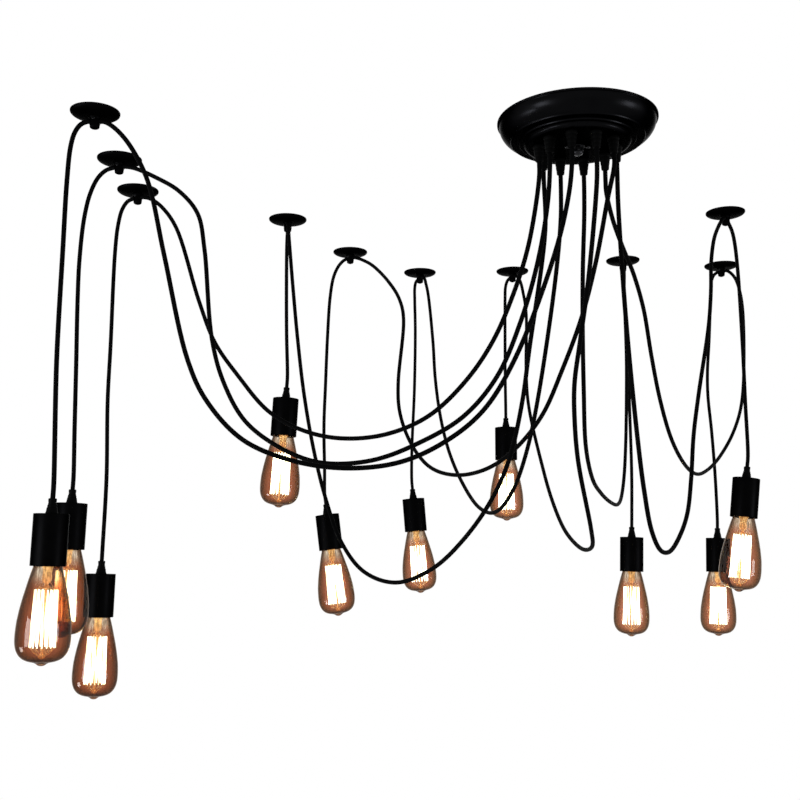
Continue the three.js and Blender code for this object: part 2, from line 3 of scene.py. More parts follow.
import bmesh
import bpy
import numpy as np
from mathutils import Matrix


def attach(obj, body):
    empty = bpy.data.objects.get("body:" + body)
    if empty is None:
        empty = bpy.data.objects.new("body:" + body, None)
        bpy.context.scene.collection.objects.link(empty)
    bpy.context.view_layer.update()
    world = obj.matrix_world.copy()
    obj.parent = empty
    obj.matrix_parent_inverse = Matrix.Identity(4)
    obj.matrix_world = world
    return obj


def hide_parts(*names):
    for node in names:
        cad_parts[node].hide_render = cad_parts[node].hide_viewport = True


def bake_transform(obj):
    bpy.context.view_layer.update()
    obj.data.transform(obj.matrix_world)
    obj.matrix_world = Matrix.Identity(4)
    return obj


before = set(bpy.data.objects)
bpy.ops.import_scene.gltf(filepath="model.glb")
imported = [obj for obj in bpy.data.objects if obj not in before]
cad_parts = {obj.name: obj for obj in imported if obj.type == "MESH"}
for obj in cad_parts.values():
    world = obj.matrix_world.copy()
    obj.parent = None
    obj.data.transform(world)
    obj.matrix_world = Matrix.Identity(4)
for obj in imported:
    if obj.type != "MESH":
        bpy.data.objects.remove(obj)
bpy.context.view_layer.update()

# Camera, where the photograph was taken from: low, to the left and looking slightly up
CAMERA_PLACE = (-0.229, -1.335, -0.568)
CAMERA_PITCH = math.radians(98.66)
CAMERA_LENS = 48.87
CAMERA_SENSOR = 36.0

# The room around the light
FLOOR_HEIGHT = -2.4
FLOOR_SIZE = 14.0
FLOOR_WHITE_SHARE = 0.8
# Each window's name, place, width, height and power in watts; all of them face the aim
WINDOWS = [
    ("window_left", (-1.75, -1.0, -0.7), 0.62, 0.8, 23.0),
    ("window_right", (2.0, -0.7, -0.75), 0.62, 0.8, 23.0),
    ("low_window", (-2.1, -0.1, -1.3), 0.55, 0.4, 15.0),
]
WINDOW_AIM = (-0.1, 0.3, -0.35)
WINDOW_COLOUR = (0.93, 0.96, 1.0)
WHITE = (1.0, 1.0, 1.0, 1.0)

# Sizes in metres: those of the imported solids, and those of the fine forms that only this scene has
CLEARANCE = 0.0003
CORD_DIAMETER = 0.006
CORD_RADIUS = CORD_DIAMETER / 2
SHEET = 0.0012

CANOPY_RADIUS = 0.103
LIP_HEIGHT = 0.003
LIP_INSET = 0.0024
LIP_STEP = 0.0008
LIP_ROLL = 0.0006
CREASE_RADIUS = 0.0716
SHOULDER_DEPTH = 0.028
FLAT_RADIUS = 0.062
CANOPY_DEPTH = 0.034
CANOPY_BORE = 0.0053
SHOULDER_SHARE = 0.47
# The two low steps from the shoulder's end to the boss, as radius and height
STEP_KNOTS = [
    (0.0863, -0.02475), (0.08602, -0.0252), (0.0857, -0.0259), (0.0854, -0.02625),
    (0.0848, -0.0264), (0.0800, -0.0267), (0.0760, -0.0269), (0.0752, -0.02705),
    (0.0748, -0.0274), (0.0745, -0.0280), (0.0742, -0.02855), (0.0736, -0.0287),
    (0.0705, -0.0288), (0.0692, -0.0290), (0.0684, -0.0296),
]
INNER_STEP = (0.0666, -0.0282)

GRIP_COUNT = 10
GRIP_CIRCLE = 0.050
GRIP_LENGTH = 0.020
GRIP_BASE = 0.0075
GRIP_TIP = 0.005
GRIP_COLLAR = 0.003
GRIP_LEAD = 0.016
GRIP_RING = 0.00025  # depth of the shallow rings on a grip
MOUTH_LAP = 0.0006  # how far the mouth of a grip or strain relief laps over the cord's end
MOUTH_ROOM = 0.0002
BUSH_NUT = 0.0066
BUSH_NUT_HEIGHT = 0.0028
BUSH_NECK = 0.0039
BUSH_NECK_HEIGHT = 0.0042

SHEATH_END = -0.0255
CORE_DIAMETER = 0.0016
CORE_SPREAD = 0.0011
BLOCK_FACE = 0.0085
BLOCK_ENTRY = 0.0006  # how far a core runs into the terminal block's face
BLACK_WAY = 0.0385
WHITE_WAY = 0.0235
WAY_PITCH = 0.00105
HIGH_ROW = -0.0062
ROW_PITCH = 0.0028
# Handles of the cores' curves, found by a search for routes that never meet: how far they rise,
# reach and sink, and what the lower row, the rank, the distance and a black core add or take
CORE_OUT = 0.0061
CORE_RISE, RISE_BY_ROW, RISE_OFF_BLACK = 0.0110, 0.0039, 0.0025
CORE_REACH, REACH_SHARE, REACH_BY_BLACK = 0.0122, 0.352, 0.0045
CORE_SINK, SINK_BY_RANK, SINK_OFF_BLACK = 0.0011, 0.0026, 0.0064

WASHER_RADIUS = 0.0095
WASHER_BORE = 0.0055
WASHER_TOP = -CANOPY_DEPTH - CLEARANCE
CAP_NUT_TOP = WASHER_TOP - SHEET - CLEARANCE
CAP_NUT_HALF_WIDTH = 0.007
CAP_NUT_HEIGHT = 0.006
# Depth below the cap nut's top and the radius that its corners are turned off to there
HEX_KNOTS = [
    (0, 0.0073), (0.0008, 0.0077), (0.0016, 0.0081), (0.0044, 0.0081), (0.0052, 0.0077),
    (CAP_NUT_HEIGHT, 0.0073),
]
CAP_DOME_RADIUS = 0.0068
CAP_DOME_HEIGHT = 0.005
COVER_SCREW_PLACE = 0.0135
SCREW_SHANK = 0.00175
SCREW_HEAD = 0.003
SCREW_HEAD_HEIGHT = 0.0022
SCREW_DOME_SHARE = 0.6
SLOT_HALF_WIDTH = 0.0004
SLOT_DEPTH = 0.0008
SLOT_SHARE = 0.55  # how far out the slots reach, as a share of the head

HOOK_RADIUS = 0.031
HOOK_EDGE = 0.0016
HOOK_ROLL = 0.0004
HOOK_DOME = 0.008
HOOK_STUD = 0.0065
HOOK_FILLET = 0.0025
STUD_LENGTH = 0.011
NUT_RADIUS = 0.0062
NUT_GROOVE = 0.0042  # how far below the port the clamp nut starts
NUT_RIBS = 36
NUT_RIB_DEPTH = 0.00012
NUT_END_RADIUS = 0.0028
KNOB_LENGTH = 0.004
PORT_DROP = 0.013
PORT_LEAD = 0.003
PORT_FACE = HOOK_STUD * math.cos(math.pi / 10) + CLEARANCE
PORT_RIM = 0.0006
PORT_RIM_WIRE = 0.0005
GRUB_RADIUS = 0.0021
GRUB_RISE = 0.0028  # how far above the port's middle the grub screw stands

RELIEF_HEIGHT = 0.018
RELIEF_BASE = 0.0076
RELIEF_NECK = 0.0046
RELIEF_COLLAR = 0.0050
RELIEF_LEAD = 0.018
HOLDER_RADIUS = 0.021
HOLDER_LENGTH = 0.062
HOLDER_PLATE = 0.002
HOLDER_EDGE = 0.0005
SLEEVE_SETBACK = 0.006
SLEEVE_DEPTH = 0.026
SLEEVE_BORE = 0.0141
SLEEVE_WALL = 0.0014
SOCKET_FLOOR = 0.002
POST_RADIUS = 0.006

SHELL_TOP = -RELIEF_HEIGHT
RIM_HEIGHT = SHELL_TOP - HOLDER_LENGTH
MOUTH_HEIGHT = RIM_HEIGHT + SLEEVE_SETBACK
FLOOR_LOW = MOUTH_HEIGHT + SLEEVE_DEPTH

CAP_RADIUS = 0.0131
CONTACT_RADIUS = 0.0045
INSULATOR_RADIUS = 0.0056
THREAD_DEPTH = 0.0004
THREAD_TURNS = 6.5
GLASS_WALL = 0.0009
GLASS_MOUTH_SHARE = 0.496
TIP_SOLID_DEPTH = 0.1105
# Radius of the glass at each depth below the holder's rim
GLASS_KNOTS = [
    (0.0166, 0.000), (0.0186, 0.007), (0.0205, 0.014), (0.0224, 0.0215), (0.0242, 0.029),
    (0.0259, 0.036), (0.0274, 0.043), (0.0288, 0.050), (0.0301, 0.058), (0.0311, 0.065),
    (0.0317, 0.073), (0.0320, 0.081), (0.0318, 0.088), (0.0308, 0.0945), (0.0287, 0.1002),
    (0.0256, 0.1048), (0.0215, 0.1082), (0.0165, 0.1104), (0.0118, 0.1115), (0.0085, 0.1124),
    (0.0062, 0.1135), (0.0046, 0.1147), (0.0028, 0.1156), (0.0010, 0.11595), (0, 0.116),
]
# Depth below the rim, radius and flatness of the stem's flared tube
FLARE_KNOTS = [
    (-0.004, 0.0085, 1), (0.000, 0.0068, 1), (0.004, 0.0056, 0.95), (0.008, 0.0052, 0.7),
    (0.011, 0.0056, 0.45), (0.015, 0.0060, 0.4), (0.018, 0.0050, 0.5), (0.020, 0.0024, 0.9),
    (0.0215, 0.0020, 1), (0.0235, 0.0034, 1), (0.0255, 0.0034, 1), (0.027, 0.0014, 1),
]
# Radius of the stem's rod at each depth below the rim
ROD_KNOTS = [
    (0.0012, 0.0265), (0.0012, 0.1015), (0.0026, 0.1025), (0.0040, 0.1045), (0.0042, 0.1058),
    (0.0034, 0.1072), (0.0014, 0.1080),
]
FILAMENT_RUNS = 33
FILAMENT_RADIUS = 0.00065
CAGE_TOP_DEPTH = 0.0275
CAGE_LOW_DEPTH = 0.0945
CAGE_TOP_RADIUS = 0.0132
CAGE_LOW_RADIUS = 0.0148
BUTTON_DEPTH = 0.0245
HUB_DEPTH = 0.1050
SUPPORT_START = 0.0028
SUPPORT_RADIUS = 0.00034
LEAD_RADIUS = 0.0005
SUPPORT_BOW_TOP = 0.0010
SUPPORT_BOW_LOW = -0.0016
# Way out and depth below the rim of the bends of the wire that feeds the filament
LEAD_KNOTS = [
    (0.0030, 0.002), (0.0034, 0.010), (0.0042, 0.018), (0.0080, 0.0235),
    (CAGE_TOP_RADIUS, CAGE_TOP_DEPTH),
]

# One entry for each arm: the grip it leaves, its hook, the way the port is turned, the top of its
# strain relief, how far the lamp leans, and the two stretches of its cord, whose points are in
# millimetres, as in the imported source
MILLIMETRE = 0.001
ARMS = [
    {
        "grip": 7,
        "hook": (-0.615, -0.030),
        "turn": -2,
        "top": (-0.646, -0.028, -0.489),
        "tilt": -1.3,
        "swag": [
            (-20, -47, -112), (-38, -47, -186), (-90, -45, -321), (-129, -44, -384),
            (-174, -43, -421), (-229, -41, -446), (-295, -39, -453), (-361, -37, -443),
            (-419, -36, -418), (-464, -34, -370), (-488, -34, -320), (-521, -33, -188),
            (-545, -32, -92), (-568, -31, -47), (-586, -31, -25), (-600, -30, -14.5),
        ],
        "drop": [
            (-633, -29, -16.5), (-640, -29, -27), (-644.5, -29, -46), (-647, -29, -90),
            (-648, -29, -180), (-649, -29, -320),
        ],
    },
    {
        "grip": 6,
        "hook": (-0.625, 0.130),
        "turn": -15,
        "top": (-0.672, 0.136, -0.467),
        "tilt": -1.5,
        "swag": [
            (-44, -29, -118), (-57, -25, -192), (-79, -19, -268), (-109, -11, -337),
            (-150, 0, -385), (-204, 15, -416), (-265, 32, -437), (-331, 50, -438), (-383, 64, -418),
            (-432, 77, -381), (-463, 86, -328), (-481, 91, -268), (-495, 94, -142), (-506, 97, -92),
            (-534, 105, -57), (-570, 115, -33), (-602, 124, -16.5),
        ],
        "drop": [
            (-645, 135, -15.5), (-656, 136, -26), (-666, 136, -49), (-673, 136, -85),
            (-677, 136, -146), (-677, 136, -204), (-675, 136, -290), (-673, 136, -386),
        ],
    },
    {
        "grip": 5,
        "hook": (-0.630, 0.260),
        "turn": -25,
        "top": (-0.665, 0.270, -0.562),
        "tilt": -1.1,
        "swag": [
            (-54, 2, -105), (-66, 7, -168), (-83, 15, -222), (-110, 27, -284), (-145, 43, -334),
            (-192, 64, -376), (-248, 89, -397), (-310, 116, -399), (-365, 142, -384),
            (-413, 163, -355), (-458, 183, -303), (-496, 200, -250), (-522, 211, -188),
            (-563, 230, -70), (-587, 240, -35), (-608, 250, -17.5),
        ],
        "drop": [
            (-647, 267.5, -15.5), (-655.5, 270, -27), (-661, 270, -52), (-664, 270, -95),
            (-665, 270, -240), (-666, 270, -324), (-663, 270, -440),
        ],
    },
    {
        "grip": 4,
        "hook": (-0.415, 0.400),
        "turn": -80,
        "top": (-0.415, 0.424, -0.280),
        "tilt": -3,
        "swag": [
            (-40, 29, -137), (-61, 49, -290), (-71, 60, -362), (-87, 75, -432), (-110, 98, -485),
            (-145, 132, -535), (-184, 171, -572), (-235, 222, -592), (-283, 269, -576),
            (-317, 303, -533), (-342, 328, -469), (-363, 349, -392), (-381, 364, -300),
            (-393, 371, -210), (-402, 374, -125), (-408, 376, -62), (-411, 377.5, -29),
            (-412, 384, -16.5),
        ],
        "drop": [
            (-417, 416, -16.5), (-418, 422, -27), (-418.5, 424, -45), (-418, 424, -110),
            (-416.5, 424, -190),
        ],
    },
    {
        "grip": 9,
        "hook": (-0.320, 0.590),
        "turn": -35,
        "top": (-0.361, 0.606, -0.461),
        "tilt": 7.2,
        "swag": [
            (33, -17, -112), (20, 6, -188), (5, 32, -252), (-16, 68, -314), (-38, 106, -368),
            (-70, 160, -409), (-105, 222, -431), (-147, 292, -434), (-185, 358, -414),
            (-214, 409, -368), (-230, 436, -315), (-232, 438, -270), (-223, 432, -165),
            (-230, 460, -122), (-250, 497, -80), (-277, 536, -42), (-297, 568, -22),
            (-306.5, 579.5, -15.5),
        ],
        "drop": [
            (-333.5, 599.5, -15), (-342.5, 604.5, -24), (-351, 606, -43), (-357, 606, -80),
            (-361, 606, -150), (-364, 606, -246), (-366, 606, -320), (-364, 606, -400),
        ],
    },
    {
        "grip": 3,
        "hook": (-0.190, 0.730),
        "turn": -65,
        "top": (-0.205, 0.750, -0.424),
        "tilt": 4.6,
        "swag": [
            (-16, 52, -115), (-22, 72, -192), (-40, 142, -345), (-51, 186, -410), (-65, 242, -460),
            (-84, 315, -488), (-104, 392, -477), (-127, 482, -427), (-145, 554, -366),
            (-157, 604, -298), (-164, 642, -225), (-167, 672, -150), (-175, 706, -49),
            (-179, 707, -29), (-181.5, 712, -18),
        ],
        "drop": [
            (-198, 746, -17), (-200, 750.5, -28), (-200, 751, -50), (-199, 750, -113),
            (-201, 750, -230), (-206, 750, -345),
        ],
    },
    {
        "grip": 8,
        "hook": (-0.010, 0.720),
        "turn": -60,
        "top": (-0.025, 0.740, -0.288),
        "tilt": -0.3,
        "swag": [
            (15, -44, -100), (6, -18, -216), (-2, 5, -287), (-7, 28, -340), (-5, 46, -384),
            (2, 70, -433), (28, 135, -520), (37, 180, -541), (36, 232, -546), (32, 290, -537),
            (25, 358, -512), (19, 440, -463), (14, 505, -407), (3, 605, -281), (4, 640, -211),
            (11, 684, -90), (7, 694, -50), (3.5, 698.5, -30), (-0.5, 705, -18),
        ],
        "drop": [
            (-19, 735.5, -17.5), (-22, 739.5, -29), (-23, 740, -50), (-24, 740, -116),
            (-25, 740, -200),
        ],
    },
    {
        "grip": 2,
        "hook": (0.190, 0.645),
        "turn": -98,
        "top": (0.196, 0.669, -0.499),
        "tilt": -2,
        "swag": [
            (15, 50, -110), (13, 60, -181), (14, 79, -258), (19, 112, -333), (30, 172, -402),
            (50, 240, -443), (75, 310, -460), (103, 380, -470), (128, 450, -469), (148, 515, -450),
            (162, 556, -410), (173, 587, -347), (180, 604, -270), (184, 612, -190),
            (185.5, 620, -70), (187, 621.5, -35), (188, 626.5, -20),
        ],
        "drop": [
            (192.5, 661, -16.5), (194.5, 667.5, -27.5), (196, 669, -55), (198, 669, -140),
            (199, 669, -280), (199, 669, -400),
        ],
    },
    {
        "grip": 0,
        "hook": (0.300, 0.365),
        "turn": -125,
        "top": (0.321, 0.382, -0.414),
        "tilt": -6.7,
        "swag": [
            (50, 0, -115), (58, 12, -265), (72, 32, -411), (81, 45, -475), (92, 61, -523),
            (108, 85, -548), (127, 113, -550), (150, 146, -528), (169, 174, -495), (180, 190, -448),
            (190, 205, -385), (206, 228, -322), (240, 278, -205), (249, 290, -149),
            (254, 299, -102), (264, 313, -62), (278, 334, -35), (288.5, 349, -19.5),
        ],
        "drop": [
            (309.5, 378, -17), (314.5, 381, -27), (318, 382, -45), (321, 382, -90),
            (323, 382, -209), (323, 382, -310),
        ],
    },
    {
        "grip": 1,
        "hook": (0.385, 0.680),
        "turn": -48,
        "top": (0.362, 0.700, -0.500),
        "tilt": -1.9,
        "swag": [
            (41.5, 32, -84), (53, 52, -115), (72, 88, -140), (97, 135, -168), (119, 178, -208),
            (134, 206, -268), (152, 240, -325), (178, 289, -376), (212, 352, -409),
            (250, 424, -421), (290, 498, -409), (330, 557, -380), (368, 600, -334),
            (393, 627, -284), (406, 642, -222), (414, 654, -95), (411, 658, -55),
            (404.5, 661.5, -30), (396, 668, -16.5),
        ],
        "drop": [
            (374, 693, -17), (370.5, 698, -28), (369, 700, -50), (362, 700, -140), (356, 700, -205),
            (355, 700, -250), (359, 700, -317), (362, 700, -400),
        ],
    },
]


# Materials

# The part of a noise's range where nearly all of it lies
NOISE_LOW, NOISE_HIGH = 0.3, 0.7
STREAK_STRETCH = 0.05
# Ways along the glass from its mouth, as shares of the map, where the neck ends and the tip starts
NECK_END = (0.05, 0.125)
TIP_START = (0.425, 0.46)
# Where the bulbs' tint drifts, from left to right
DRIFT_START, DRIFT_END = -0.62, -0.1


def add_node(tree, kind, inputs, **settings):
    """A new node with its settings. Each input is given a value, or another node's output."""
    node = tree.nodes.new("ShaderNode" + kind)
    for setting, value in settings.items():
        setattr(node, setting, value)
    fill_inputs(tree, node, inputs)
    return node


def fill_inputs(tree, node, inputs):
    """Sets the node's inputs to values, and links those that are given an output."""
    for socket, value in inputs.items():
        if isinstance(value, bpy.types.NodeSocket):
            tree.links.new(value, node.inputs[socket])
        else:
            node.inputs[socket].default_value = value


def new_finish(name, colour, roughness, metallic=0.0):
    """A finish with its main shader's plain values set; returns the material and the shader."""
    finish = bpy.data.materials.new(name)
    finish.use_nodes = True
    shader = finish.node_tree.nodes["Principled BSDF"]
    plain = {"Base Color": (*colour, 1.0), "Roughness": roughness, "Metallic": metallic}
    fill_inputs(finish.node_tree, shader, plain)
    return finish, shader


def own_place(tree):
    """Each point's place on the piece itself."""
    return add_node(tree, "TexCoord", {}).outputs["Object"]


def speckle(tree, scale, detail=4.0):
    """Noise on the piece's own coordinates, as a value from 0 to 1."""
    inputs = {"Vector": own_place(tree), "Scale": scale, "Detail": detail}
    return add_node(tree, "TexNoise", inputs).outputs["Fac"]


def ranged(tree, value, low, high):
    """The middle of the value's range spread from low to high."""
    inputs = {"From Min": NOISE_LOW, "From Max": NOISE_HIGH, "To Min": low, "To Max": high}
    return add_node(tree, "MapRange", {**inputs, "Value": value}).outputs["Result"]


def mixed(tree, value, first, second, **settings):
    """Two colours mixed by the value."""
    inputs = {"Factor": value, "A": first, "B": second}
    return add_node(tree, "Mix", inputs, data_type="RGBA", **settings).outputs["Result"]


def blended(tree, value, first, second):
    """A colour between two plain ones, by the value."""
    return mixed(tree, value, (*first, 1.0), (*second, 1.0))


def overlaid(tree, colour, marks):
    """The colour times the marks."""
    return mixed(tree, 1.0, colour, marks, blend_type="MULTIPLY")


def mottled(name, plain, mottle, colours, roughness, grain=None, **gloss):
    """An opaque finish: patches of two colours with two roughnesses, and a fine relief. The mottle
    is a noise's scale and detail, and the grain adds its height in metres."""
    finish, shader = new_finish(name, *plain)
    tree = finish.node_tree
    patches = speckle(tree, *mottle)
    inputs = {
        "Roughness": ranged(tree, patches, *roughness),
        "Base Color": blended(tree, patches, *colours),
    }
    for socket, value in gloss.items():
        inputs[socket.replace("_", " ")] = value
    if grain:
        scale, detail, height = grain
        bump = {"Distance": height, "Height": speckle(tree, scale, detail)}
        inputs["Normal"] = add_node(tree, "Bump", bump).outputs["Normal"]
    fill_inputs(tree, shader, inputs)
    return finish


def steps_of_colour(tree, value, stops):
    """A colour that follows the value through the given stops, each a place and a colour."""
    ramp = add_node(tree, "ValToRGB", {"Fac": value})
    scale = ramp.color_ramp.elements
    while len(scale) < len(stops):
        scale.new(1.0)
    for stop, (place, colour) in zip(scale, stops):
        stop.position = place
        stop.color = (*colour, 1.0)
    return ramp.outputs["Color"]


def upright_streaks(tree, scale):
    """Noise drawn out along the height, from 0 to 1: the drawing marks in blown glass, the streaks
    of painted reflection at its neck, and the filament's uneven heat.
    """
    stretch = {"Vector": own_place(tree), "Scale": (1.0, 1.0, STREAK_STRETCH)}
    tall = add_node(tree, "Mapping", stretch)
    inputs = {"Vector": tall.outputs["Vector"], "Scale": scale, "Detail": 1.0}
    return ranged(tree, add_node(tree, "TexNoise", inputs).outputs["Fac"], 0.0, 1.0)


def wall_share(tree, first, last):
    """Rises from 0 to 1 between two ways along the glass's wall, counted both ways from its mouth,
    by the map, whose loop runs up inside from the tip, turns at the mouth and comes down outside."""
    chart = add_node(tree, "UVMap", {}, uv_map="around_and_down")
    parts = add_node(tree, "SeparateXYZ", {"Vector": chart.outputs["UV"]})
    from_mouth = {0: parts.outputs["Y"], 1: GLASS_MOUTH_SHARE}
    past_mouth = add_node(tree, "Math", from_mouth, operation="SUBTRACT")
    run = add_node(tree, "Math", {0: past_mouth.outputs["Value"]}, operation="ABSOLUTE")
    inputs = {"Value": run.outputs["Value"], "From Min": first, "From Max": last}
    return add_node(tree, "MapRange", inputs, interpolation_type="SMOOTHSTEP").outputs["Result"]


def paler_towards_right(tree):
    """Glass that grows paler and cooler from the left lamps to the right ones."""
    parts = add_node(tree, "SeparateXYZ", {"Vector": own_place(tree)})
    inputs = {"Value": parts.outputs["X"], "From Min": DRIFT_START, "From Max": DRIFT_END}
    across = add_node(tree, "MapRange", inputs)
    return blended(tree, across.outputs["Result"], (0.98, 0.97, 0.98), (1.2, 1.4, 1.7))


# Colours of the glass by how far it is seen from face on to edge on. Painted shade darkens them
# towards the edges, and the neck's pale face-on colours are a painted reflection
GLASS_BODY_EDGE_SHADE_STOPS = [
    (0.00, (0.60, 0.32, 0.20)),
    (0.18, (0.59, 0.31, 0.19)),
    (0.32, (0.46, 0.24, 0.13)),
    (0.50, (0.33, 0.19, 0.10)),
    (0.75, (0.20, 0.12, 0.06)),
    (1.00, (0.06, 0.035, 0.02)),
]
GLASS_NECK_REFLECTION_STOPS = [
    (0.00, (0.92, 0.84, 0.72)),
    (0.20, (0.88, 0.80, 0.70)),
    (0.34, (0.58, 0.48, 0.39)),
    (0.52, (0.34, 0.25, 0.18)),
    (0.75, (0.20, 0.13, 0.08)),
    (1.00, (0.06, 0.035, 0.02)),
]
GLASS_TIP_STOPS = [
    (0.00, (0.40, 0.22, 0.13)),
    (0.50, (0.25, 0.12, 0.06)),
    (1.00, (0.05, 0.03, 0.02)),
]


def amber_glass():
    """Smoky amber glass: rosy amber where it is seen face on, with painted shade that turns it brown
    and then smoke-dark towards its edges, a pale painted reflection with strong streaks at the
    neck, upright drawing streaks below it, and a tint that grows paler and cooler from the left
    lamps to the right ones. A hard clear coat carries the reflections."""
    finish, shader = new_finish("smoky_amber_glass", (0.44, 0.26, 0.17), 0.0)
    tree = finish.node_tree
    facing = add_node(tree, "LayerWeight", {"Blend": 0.5}).outputs["Facing"]
    # Painted shade: the tint darkens towards the glass's edges as it is seen more edge on
    body = steps_of_colour(tree, facing, GLASS_BODY_EDGE_SHADE_STOPS)
    # Painted reflection: the neck is pale where it is seen face on
    neck = steps_of_colour(tree, facing, GLASS_NECK_REFLECTION_STOPS)
    tip = steps_of_colour(tree, facing, GLASS_TIP_STOPS)
    # Faint drawing streaks below the neck; at the neck, stronger streaks of painted reflection
    faint = blended(tree, upright_streaks(tree, 230.0), (0.82, 0.76, 0.70), (1.0, 1.0, 1.0))
    neck_reflection_streaks = blended(tree, upright_streaks(tree, 420.0), (0.5, 0.42, 0.34), (1.1, 1.12, 1.14))
    below_neck = wall_share(tree, *NECK_END)
    tint = mixed(tree, below_neck, neck, overlaid(tree, body, paler_towards_right(tree)))
    tint = mixed(tree, wall_share(tree, *TIP_START), tint, tip)
    glass = {
        "Base Color": overlaid(tree, tint, mixed(tree, below_neck, neck_reflection_streaks, faint)),
        "Transmission Weight": 1.0,
        "IOR": 1.04,
        "Coat Weight": 0.045,
        "Coat IOR": 4.0,
        "Coat Roughness": 0.0,
    }
    fill_inputs(tree, shader, glass)
    return finish


def glowing(finish, shader, value, dim, bright, strength=1.0, **more):
    """Uneven glow between a dim and a bright colour, by the value: the filament's own light, or the
    painted glow of the wires and stem. It lights nothing around it.
    """
    inputs = {
        "Emission Color": blended(finish.node_tree, value, dim, bright),
        "Emission Strength": strength,
    }
    for socket, amount in more.items():
        inputs[socket.replace("_", " ")] = amount
    fill_inputs(finish.node_tree, shader, inputs)
    finish.cycles.emission_sampling = "NONE"
    return finish


def glowing_filament():
    """Carbon filament at a warm white heat, duller and yellower on some of its runs."""
    finish, shader = new_finish("glowing_filament", (0.9, 0.6, 0.3), 0.5)
    heat = upright_streaks(finish.node_tree, 330.0)
    return glowing(finish, shader, heat, (0.07, 0.105, 0.05), (0.5, 1.0, 1.1), 20.0)


def support_wire():
    """Nickel wire that carries the filament, with a painted gold glow that stands in for the
    filament's light on it.
    """
    finish, shader = new_finish("support_wire_painted_glow", (0.25, 0.17, 0.09), 0.35, 1.0)
    tree = finish.node_tree
    glow_speckle = ranged(tree, speckle(tree, 600.0, 2.0), 0.0, 1.0)
    return glowing(finish, shader, glow_speckle, (0.14, 0.065, 0.015), (0.78, 0.52, 0.27))


def stem_glass():
    """Glass stem inside the bulb, with a painted gold glow that stands in for the filament's light
    that it carries.
    """
    finish, shader = new_finish("stem_glass_painted_glow", (0.6, 0.4, 0.2), 0.15)
    tree = finish.node_tree
    glow_speckle = ranged(tree, speckle(tree, 420.0, 2.0), 0.0, 1.0)
    dim, bright = (0.10, 0.04, 0.008), (0.80, 0.53, 0.23)
    clear = {"Transmission_Weight": 0.3, "Specular_IOR_Level": 0.1}
    return glowing(finish, shader, glow_speckle, dim, bright, **clear)


# Black paint and enamel mirror a set share of the light at every angle short of grazing, as
# lacquer over metal does, so they are metallic with a dimmed edge
DIM_EDGE = (0.4, 0.4, 0.4, 1.0)

# Black gloss enamel of the canopy: deep, faintly rippled, with a little haze in places
ENAMEL = mottled(
    "black_gloss_enamel", ((0.0037, 0.0037, 0.0041), 0.26, 1.0), (35.0,),
    ((0.0028, 0.0028, 0.0031), (0.0047, 0.0047, 0.0052)), (0.22, 0.31), (220.0, 2.0, 0.00003),
    Specular_Tint=DIM_EDGE,
)
# Satin black paint of the lamp holders and hooks, with the fine grain of sprayed paint
SATIN = mottled(
    "satin_black_paint", ((0.0013, 0.0013, 0.0014), 0.42, 1.0), (60.0,),
    ((0.0009, 0.0009, 0.0010), (0.0019, 0.0019, 0.0020)), (0.36, 0.5), (2400.0, 2.0, 0.00003),
    Specular_Tint=DIM_EDGE,
)
# Matt black sheath of the cord, with a fine drawn grain and faint scuffs
SHEATH = mottled(
    "matt_black_sheath", ((0.0013, 0.0013, 0.0014), 0.6), (90.0,),
    ((0.0009, 0.0009, 0.0010), (0.0022, 0.0022, 0.0023)), (0.5, 0.7), (1800.0, 2.0, 0.00003),
    Specular_IOR_Level=0.01,
)
# Black moulded plastic of the grips, strain reliefs and sockets
MOULDED = mottled(
    "moulded_black_plastic", ((0.0014, 0.0014, 0.0014), 0.5), (150.0,),
    ((0.0010, 0.0010, 0.0010), (0.0024, 0.0024, 0.0024)), (0.42, 0.58), (3000.0, 2.0, 0.00002),
    Specular_IOR_Level=0.012,
)
# Blued steel of the cap nut and screws, with fine turning marks and dull spots
STEEL = mottled(
    "blued_steel", ((0.02, 0.02, 0.021), 0.3, 1.0), (400.0,),
    ((0.014, 0.014, 0.015), (0.026, 0.026, 0.028)), (0.22, 0.42), (5000.0, 1.0, 0.00001),
)
# Zinc plate of the hidden steel: the bar, the stud and the lock nut
ZINC = mottled(
    "zinc_plate", ((0.42, 0.43, 0.45), 0.45, 1.0), (260.0, 6.0),
    ((0.34, 0.35, 0.36), (0.5, 0.5, 0.52)), (0.35, 0.6), (3000.0, 2.0, 0.00002),
)
# Nickel-plated brass of the screw caps, warm where the plating is thin
BRASS = mottled(
    "nickel_plated_brass", ((0.55, 0.5, 0.4), 0.3, 1.0), (180.0,),
    ((0.55, 0.48, 0.34), (0.6, 0.58, 0.52)), (0.25, 0.4),
)
# Off-white moulded plastic of the terminal block
TERMINAL = mottled(
    "terminal_white_plastic", ((0.78, 0.75, 0.68), 0.5), (120.0,),
    ((0.72, 0.69, 0.6), (0.82, 0.8, 0.74)), (0.45, 0.62),
)
# White insulation of the return cores, a little glossy and faintly mottled
WHITE_CORE = mottled(
    "white_insulation", ((0.76, 0.75, 0.71), 0.35), (300.0,),
    ((0.7, 0.69, 0.64), (0.8, 0.79, 0.76)), (0.3, 0.45),
)
GLASS = amber_glass()
FILAMENT = glowing_filament()
SUPPORT = support_wire()
STEM = stem_glass()


# Surfaces


def full_turn(sides):
    """Angles of the sides of one turn."""
    return np.linspace(0, 2 * np.pi, sides, endpoint=False)


def at_angles(radius, angle, height):
    """Points (radius cos a, radius sin a, height) for each radius, angle a and height."""
    radius, angle, height = np.broadcast_arrays(radius, angle, height)
    return np.stack([radius * np.cos(angle), radius * np.sin(angle), height], axis=-1)


